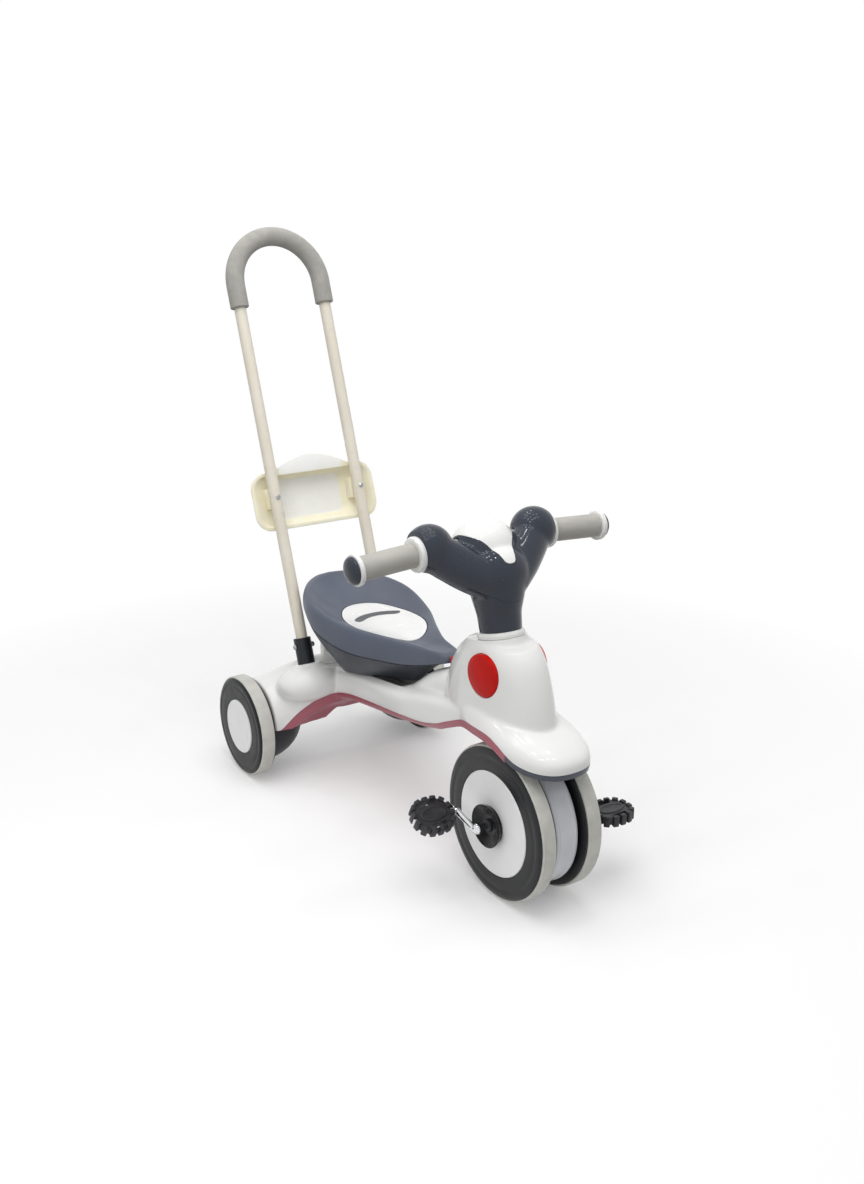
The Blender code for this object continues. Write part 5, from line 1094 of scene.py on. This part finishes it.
crank = {"start": 0.0532, "plane": 0.081, "corner": 0.006, "length": 0.048, "rod": 0.0045, "end": 0.1483,
         "knob": 0.0075, "knobX": 0.077, "washer": 0.0085}
pedal = {"grooveIn": 0.0035, "grooveTall": 0.003, "grooveDown": 0.0018,
         "centre": 0.1183, "halfX": 0.031, "halfY": 0.028, "coreX": 0.0275, "coreY": 0.0245, "core": 0.011,
         "power": 2.6, "blocks": 14, "blockRun": 0.0086, "blockDeep": 0.0070, "blockTall": 0.016,
         "padX": 0.021, "padY": 0.012, "padTall": 0.0190, "slotX": 0.012, "slotY": 0.0185, "slotHalf": 0.0035,
         "tilt": {"right": math.radians(16), "left": math.radians(-12)}}


def crankPath(reach):
    plane, corner = crank["plane"], crank["corner"]
    step = math.copysign(corner, reach)
    angles = [math.pi / 2 * k / 9 for k in range(1, 10)]
    points = [(crank["start"], 0), (plane - corner, 0)]
    points += [(plane - corner * (1 - math.sin(a)), step * (1 - math.cos(a))) for a in angles]
    points.append((plane, reach - step))
    points += [(plane + corner * (1 - math.cos(a)), reach - step * (1 - math.sin(a))) for a in angles]
    points.append((crank["end"], reach))
    return [Vector((x, y, 0)) for x, y in points]


path = crankPath(-crank["length"])
arm = sweepTube("crank", path, Vector((0, 0, 1)), [crank["rod"]] * len(path), 40)
cutWith(arm, addBall("knob", (crank["knobX"], 0, 0), (crank["knob"],) * 3, 48), "UNION")
outEnd = crank["plane"] + crank["corner"]
washer = addRod("washer", outEnd - 0.0015, outEnd, crank["washer"], 48)
roundEdges(washer, 0.0004)
cutWith(arm, placeIn(washer, Matrix.Translation((0, -crank["length"], 0))), "UNION")
finishPair(arm, "crank", hubPlace, frontBodies, "crank", chromePlate)


def ovalSlab(name, halfX, halfY, power, tall, rounding):
    ring = ovalRing(halfX, halfY, power, 72)
    piece = rollGrid(name, [[(x, y, -tall / 2) for x, y in ring], [(x, y, tall / 2) for x, y in ring]])
    roundEdges(piece, rounding, 4, 50)
    return piece


base = ovalSlab("pedal", pedal["coreX"], pedal["coreY"], pedal["power"], pedal["core"], 0.0012)
outline = ovalRing(pedal["halfX"] - pedal["blockDeep"] / 2, pedal["halfY"] - pedal["blockDeep"] / 2,
                   pedal["power"], 560)
lengths = [0.0]
for before, after in zip(outline, outline[1:] + outline[:1]):
    lengths.append(lengths[-1] + math.dist(before, after))
for index in range(pedal["blocks"]):
    wanted = lengths[-1] * (index + 0.5) / pedal["blocks"]
    at = min(range(len(outline)), key=lambda k: abs(lengths[k] - wanted))
    x, y = outline[at]
    before, after = outline[at - 1], outline[(at + 1) % len(outline)]
    turn = math.atan2(after[1] - before[1], after[0] - before[0])
    block = addBlock("block", (-pedal["blockRun"] / 2, -pedal["blockDeep"] / 2, -pedal["blockTall"] / 2),
                     (pedal["blockRun"] / 2, pedal["blockDeep"] / 2, pedal["blockTall"] / 2))
    roundEdges(block, 0.0016, 3)
    cutWith(base, placeIn(block, Matrix.Translation((x, y, 0)) @ Matrix.Rotation(turn, 4, "Z")), "UNION")
pad = ovalSlab("pad", pedal["padX"], pedal["padY"], 2.0, pedal["padTall"] - 0.005, 0.0016)
cutWith(base, pad, "UNION")
for level in (-1, 1):
    groove = ovalSlab("groove", pedal["padX"] - pedal["grooveIn"], pedal["padY"] - pedal["grooveIn"], 2.0,
                      pedal["grooveTall"], 0.0006)
    height = level * (pedal["padTall"] / 2 - pedal["grooveDown"])
    cutWith(base, placeIn(groove, Matrix.Translation((0, 0, height))))
for shift in (-1, 1):
    slot = addBlock("slot", (-pedal["slotX"], shift * pedal["slotY"] - pedal["slotHalf"], -0.02),
                    (pedal["slotX"], shift * pedal["slotY"] + pedal["slotHalf"], 0.02))
    roundEdges(slot, 0.0012)
    cutWith(base, slot)
cutWith(base, addRod("pinHole", -0.05, crank["end"] - pedal["centre"] + 0.0006, crank["rod"] + 0.0003, 32))
for name, sign in sides:
    piece = copyOf(base, f"pedal{name.title()}")
    place = (hubPlace @ Matrix.Translation((0, -sign * crank["length"], 0))
             @ Matrix.Rotation(pedal["tilt"][name], 4, "X")
             @ (Matrix() if sign > 0 else turnedRound) @ Matrix.Translation((pedal["centre"], 0, 0)))
    finishPiece(piece, place, f"pedal_{name[0]}", [f"pedal_{name}"], pedalBlack)
bpy.data.objects.remove(base)
print("cranks and pedals done")


# Handlebar head: stem, two swept arms and a ball at each bar, melted together

head = {
    "keepTop": 0.6,
    "stem": ((0.2551, 0.0290, 0.0290, 0), (0.282, 0.0305, 0.0310, -0.001), (0.302, 0.0350, 0.0370, -0.003),
             (0.328, 0.0410, 0.0420, -0.004),
             (0.350, 0.0380, 0.0420, -0.003)),   # height, half x, half y, shift
    "near": (0.014, -0.014, 0.325), "far": (0.086, 0.0175, 0.380), "armStart": 0.0255, "lift": 0.0025,
    "ball": 0.033, "voxel": 0.0017, "relax": 24,
    "arm": ((0, 0.0265), (0.35, 0.0290), (0.7, 0.0285), (1.0, 0.0265)),
    "masses": (((0, 0.018, 0.364), (0.049, 0.046, 0.048)), ((0, -0.008, 0.336), (0.047, 0.038, 0.042))),
    "foot": 0.2591, "seam": 0.298, "seamHigh": 0.322, "seamRise": 0.60, "seamFlat": 0.010,
    "columnHole": 0.0113, "columnTop": 0.2934,
    "panel": ((0.000, 0.022), (0.003, 0.029), (0.008, 0.034), (0.020, 0.0395), (0.044, 0.0385),
              (0.060, 0.0340), (0.074, 0.0255), (0.086, 0.0180), (0.098, 0.0130), (0.108, 0.0100),
              (0.113, 0.0076), (0.1155, 0.0032)),
    "panelTop": (0, 0.055, 0.410), "panelRun": (0, -0.824, -0.567), "panelDeep": -0.010,
}
bar = {"radius": 0.0085, "bend": 0.070, "droop": math.radians(3.5), "y": 0.0175, "z": 0.380,
       "headEnd": 0.1042}


def headForm():
    parts = [rollGrid("stem", [[(x, y + shift, height) for x, y in ovalRing(half, deep, 2, 64)]
                               for height, half, deep, shift in head["stem"]])]
    for sign in (-1, 1):
        near, far = (Vector((sign * p[0], p[1], p[2])) for p in (head["near"], head["far"]))
        side = (far - near).normalized().cross(Vector((1, 0, 0))).normalized()
        rows = easedRows(head["arm"], 4)
        path = [near.lerp(far, share) for share, _ in rows]
        parts.append(sweepTube("arm", path, side, [radius for _, radius in rows], 64))
        parts.append(addBall("armStart", near, (head["armStart"],) * 3, 48))
        parts.append(addBall("barBall", (far.x, far.y, far.z + head["lift"]), (head["ball"],) * 3, 64))
    parts += [addBall("mass", centre, radii, 64) for centre, radii in head["masses"]]
    return blendForm(joinAll(parts, "headForm"), head["voxel"], head["relax"])


def seamAt(x, y):
    return min(head["seam"] + head["seamRise"] * max(abs(x) - head["seamFlat"], 0), head["seamHigh"])


def barPlace(sign):
    # Along one half of the drooping handlebar, from the bend outwards.
    turn = bar["droop"] if sign > 0 else math.pi - bar["droop"]
    return Matrix.Translation((sign * bar["bend"], bar["y"], bar["z"])) @ Matrix.Rotation(turn, 4, "Y")


def panelBlock(name, shrink, deep):
    run, start = Vector(head["panelRun"]), Vector(head["panelTop"])
    square = Vector((0, run.z, -run.y))
    rows = easedRows(head["panel"], 4)
    half = [(t + (shrink if t < 0.01 else 0) - (shrink if t > 0.1 else 0), w - shrink) for t, w in rows]
    outline = [(w, t) for t, w in half] + [(-w, t) for t, w in reversed(half)]
    return rollGrid(name, [[start + Vector((x, 0, 0)) + run * t + square * level for x, t in outline]
                           for level in (deep, 0.06)])


crest = head["seamFlat"] + (head["seamHigh"] - head["seam"]) / head["seamRise"]
xs, ys = [-0.14, -crest, -head["seamFlat"], head["seamFlat"], crest, 0.14], [-0.08, 0.10]
upper = headForm()
upper.name = "headUpper"
lower, panel = copyOf(upper, "headLower"), copyOf(upper, "headPanel")
cutWith(lower, reliefBlock("lowerKeep", xs, ys, lambda x, y: head["foot"], seamAt), "INTERSECT")
cutWith(lower, placeIn(addRod("headColumn", 0.2, head["columnTop"], head["columnHole"], 48), upright))
roundEdges(lower, 0.0006, 2, 50)
finishPiece(lower, steerPlace, "steering", ["head_lower"], headSlate)
upperKeep = reliefBlock("upperKeep", xs, ys, lambda x, y: seamAt(x, y) + gap, lambda x, y: head["keepTop"])
cutWith(upper, upperKeep, "INTERSECT")


def cutBar(piece, sign):
    cutWith(piece, placeIn(addRod("barHole", -0.09, 0.1, bar["radius"] + gap, 48), barPlace(sign)))


for sign in (-1, 1):
    cutWith(upper, placeIn(addRod("headEnd", bar["headEnd"] - bar["bend"], 0.1, 0.05, 48), barPlace(sign)))
    cutBar(upper, sign)
cutWith(upper, panelBlock("panelCut", 0, head["panelDeep"]))
roundEdges(upper, 0.0006, 2, 50)
finishPiece(upper, steerPlace, "steering", ["head_upper"], headSlate)
cutWith(panel, panelBlock("panelKeep", 0.0004, head["panelDeep"] + gap), "INTERSECT")
for sign in (-1, 1):
    cutBar(panel, sign)
roundEdges(panel, 0.0009, 3, 50)
finishPiece(panel, steerPlace, "steering", ["head_panel"], glossWhite)
print("handlebar head done")

# Collars, grips, flanges and end caps along the bar

barParts = (
    ("collar", "gloss_white", glossWhite, 0.0007,
     ((0.1045, 0.0088), (0.1045, 0.0243), (0.1095, 0.0243), (0.1118, 0.0232), (0.1125, 0.0205),
      (0.1125, 0.0088))),
    ("grip", "grip_grey", gripRubber, 0.0008,
     ((0.1128, 0.0088), (0.1128, 0.0165), (0.1950, 0.0165), (0.1950, 0.0088))),
    ("grip_flange", "gloss_white", glossWhite, 0.0008,
     ((0.1953, 0.0088), (0.1953, 0.0200), (0.1965, 0.0214), (0.2013, 0.0214), (0.2023, 0.0200),
      (0.2023, 0.0088))),
    ("end_cap", "slate_gloss", headSlate, 0.0004,
     ((0.2026, 0), (0.2026, 0.0188), (0.2040, 0.0188), (0.2062, 0.0181), (0.2085, 0.0160), (0.2105, 0.0122),
      (0.2120, 0.0068), (0.2126, 0))),
)
for node, slotName, finish, rounding, profile in barParts:
    words = node.split("_")
    name = words[0] + "".join(word.title() for word in words[1:])
    ring = softLine([(x - bar["bend"], radius) for x, radius in profile], rounding)
    ring = spinProfile(name, ring, 96, closed=node != "end_cap")
    for side, sign in sides:
        copy = copyOf(ring, f"{name}{side.title()}")
        finishPiece(copy, steerPlace @ barPlace(sign), "steering", [f"{node}_{side}"], finish)
    bpy.data.objects.remove(ring)
print("handlebar done")

# Nodes carried over as they are, in their own finishes

for node, finish in (("steering_bush", darkNylon), ("rear_axle", zincSteel), ("seat_hinge_pin", zincSteel),
                     ("steering_column", zincSteel), ("handlebar_tube", zincSteel),
                     ("front_axle", zincSteel)):
    carried = bpy.data.objects[node]
    for part in carried.material_slots:
        part.material = finish
print("carried parts finished")


# Floor, lights and camera

def seenRay(tree):
    # One for the rays that show the white backdrop: straight, in gloss and through clear plastic.
    ray = addNode(tree, "ShaderNodeLightPath").outputs
    seen = ray["Is Camera Ray"]
    for kind in ("Is Glossy Ray", "Is Transmission Ray"):
        seen = addNode(tree, "ShaderNodeMath", {"operation": "MAXIMUM"}, {0: seen, 1: ray[kind]}).outputs[0]
    return seen


clearSelection()
bpy.ops.mesh.primitive_circle_add(vertices=96, radius=30, fill_type="NGON", location=(0, 0, -0.0004))
floor = bpy.context.object
floor.name = "floor"
white = bpy.data.materials.new("whiteSweep")
white.use_nodes = True
tree = white.node_tree
tree.nodes.clear()
place = addNode(tree, "ShaderNodeTexCoord")
spread = addNode(tree, "ShaderNodeVectorMath", {"operation": "LENGTH"}, {0: place.outputs["Object"]})
fade = addNode(tree, "ShaderNodeMapRange", {"From Min": 0.55, "From Max": 1.15},
               {"Value": spread.outputs["Value"]})
paper = addNode(tree, "ShaderNodeBsdfDiffuse", {"Color": linearColour("#E4E4E4")})
seen = seenRay(tree)
lift = addNode(tree, "ShaderNodeMath", {"operation": "MULTIPLY", 1: 0.20}, {0: seen})
glow = addNode(tree, "ShaderNodeEmission", {"Color": (1, 1, 1, 1)}, {"Strength": lift.outputs[0]})
near = addNode(tree, "ShaderNodeAddShader", {}, {0: paper.outputs[0], 1: glow.outputs[0]})
far = addNode(tree, "ShaderNodeEmission", {"Color": (1, 1, 1, 1)}, {"Strength": seen})
both = addNode(tree, "ShaderNodeMixShader", {},
               {0: fade.outputs["Result"], 1: near.outputs[0], 2: far.outputs[0]})
out = addNode(tree, "ShaderNodeOutputMaterial")
tree.links.new(both.outputs[0], out.inputs["Surface"])
floor.data.materials.append(white)

world = bpy.data.worlds.new("studio")
bpy.context.scene.world = world
world.use_nodes = True
tree = world.node_tree
tree.nodes.clear()
seen = seenRay(tree)
strength = addNode(tree, "ShaderNodeMapRange", {"To Min": 0.50, "To Max": 1.0}, {"Value": seen})
sky = addNode(tree, "ShaderNodeBackground", {"Color": (1, 1, 1, 1)}, {"Strength": strength.outputs["Result"]})
out = addNode(tree, "ShaderNodeOutputWorld")
tree.links.new(sky.outputs[0], out.inputs["Surface"])


def addArea(name, spot, aim, size, power, shape="RECTANGLE", ratio=1.0):
    data = bpy.data.lights.new(name, "AREA")
    data.shape = shape
    data.size = size
    data.size_y = size * ratio
    data.energy = power
    lamp = bpy.data.objects.new(name, data)
    bpy.context.scene.collection.objects.link(lamp)
    lamp.location = spot
    lamp.rotation_euler = (Vector(aim) - Vector(spot)).to_track_quat("-Z", "Y").to_euler()
    lamp.visible_glossy = shape == "DISK"
    return lamp


# Soft light fills from above and in front; the small ceiling lamps alone show in gloss, as bright dots.
addArea("overheadSoftbox", (-0.35, -0.35, 1.75), (0, 0, 0.2), 1.5, 11.5)
addArea("frontFill", (-1.5, -1.1, 0.95), (0, -0.05, 0.25), 1.0, 4.4)
addArea("sideFill", (1.5, -0.6, 0.9), (0, 0, 0.25), 0.9, 2.2)
lampSpots = [(-0.9 + 0.42 * column + 0.12 * (row % 2), -0.7 + 0.5 * row, 1.9 + 0.08 * column)
             for row in range(4) for column in range(4)]
for index, spot in enumerate(lampSpots):
    addArea(f"ceilingLamp{index}", spot, (0, 0, 0.3), 0.065, 0.7, "DISK")

view = {"place": (-0.98094, -1.575476, 0.97589), "right": (0.83718, -0.54688, 0.00643),
        "up": (0.17163, 0.27387, 0.94633), "forward": (0.51929, 0.79115, -0.32314), "lens": 39.53}
data = bpy.data.cameras.new("photoView")
data.sensor_fit = "VERTICAL"
data.sensor_height = 36
data.lens = view["lens"]
camera = bpy.data.objects.new("photoView", data)
bpy.context.scene.collection.objects.link(camera)
turn = Matrix([view["right"], view["up"], [-v for v in view["forward"]]]).transposed().to_4x4()
camera.matrix_world = Matrix.Translation(view["place"]) @ turn
bpy.context.scene.camera = camera
bpy.context.scene.view_settings.view_transform = "Standard"

print("tricycle finished")
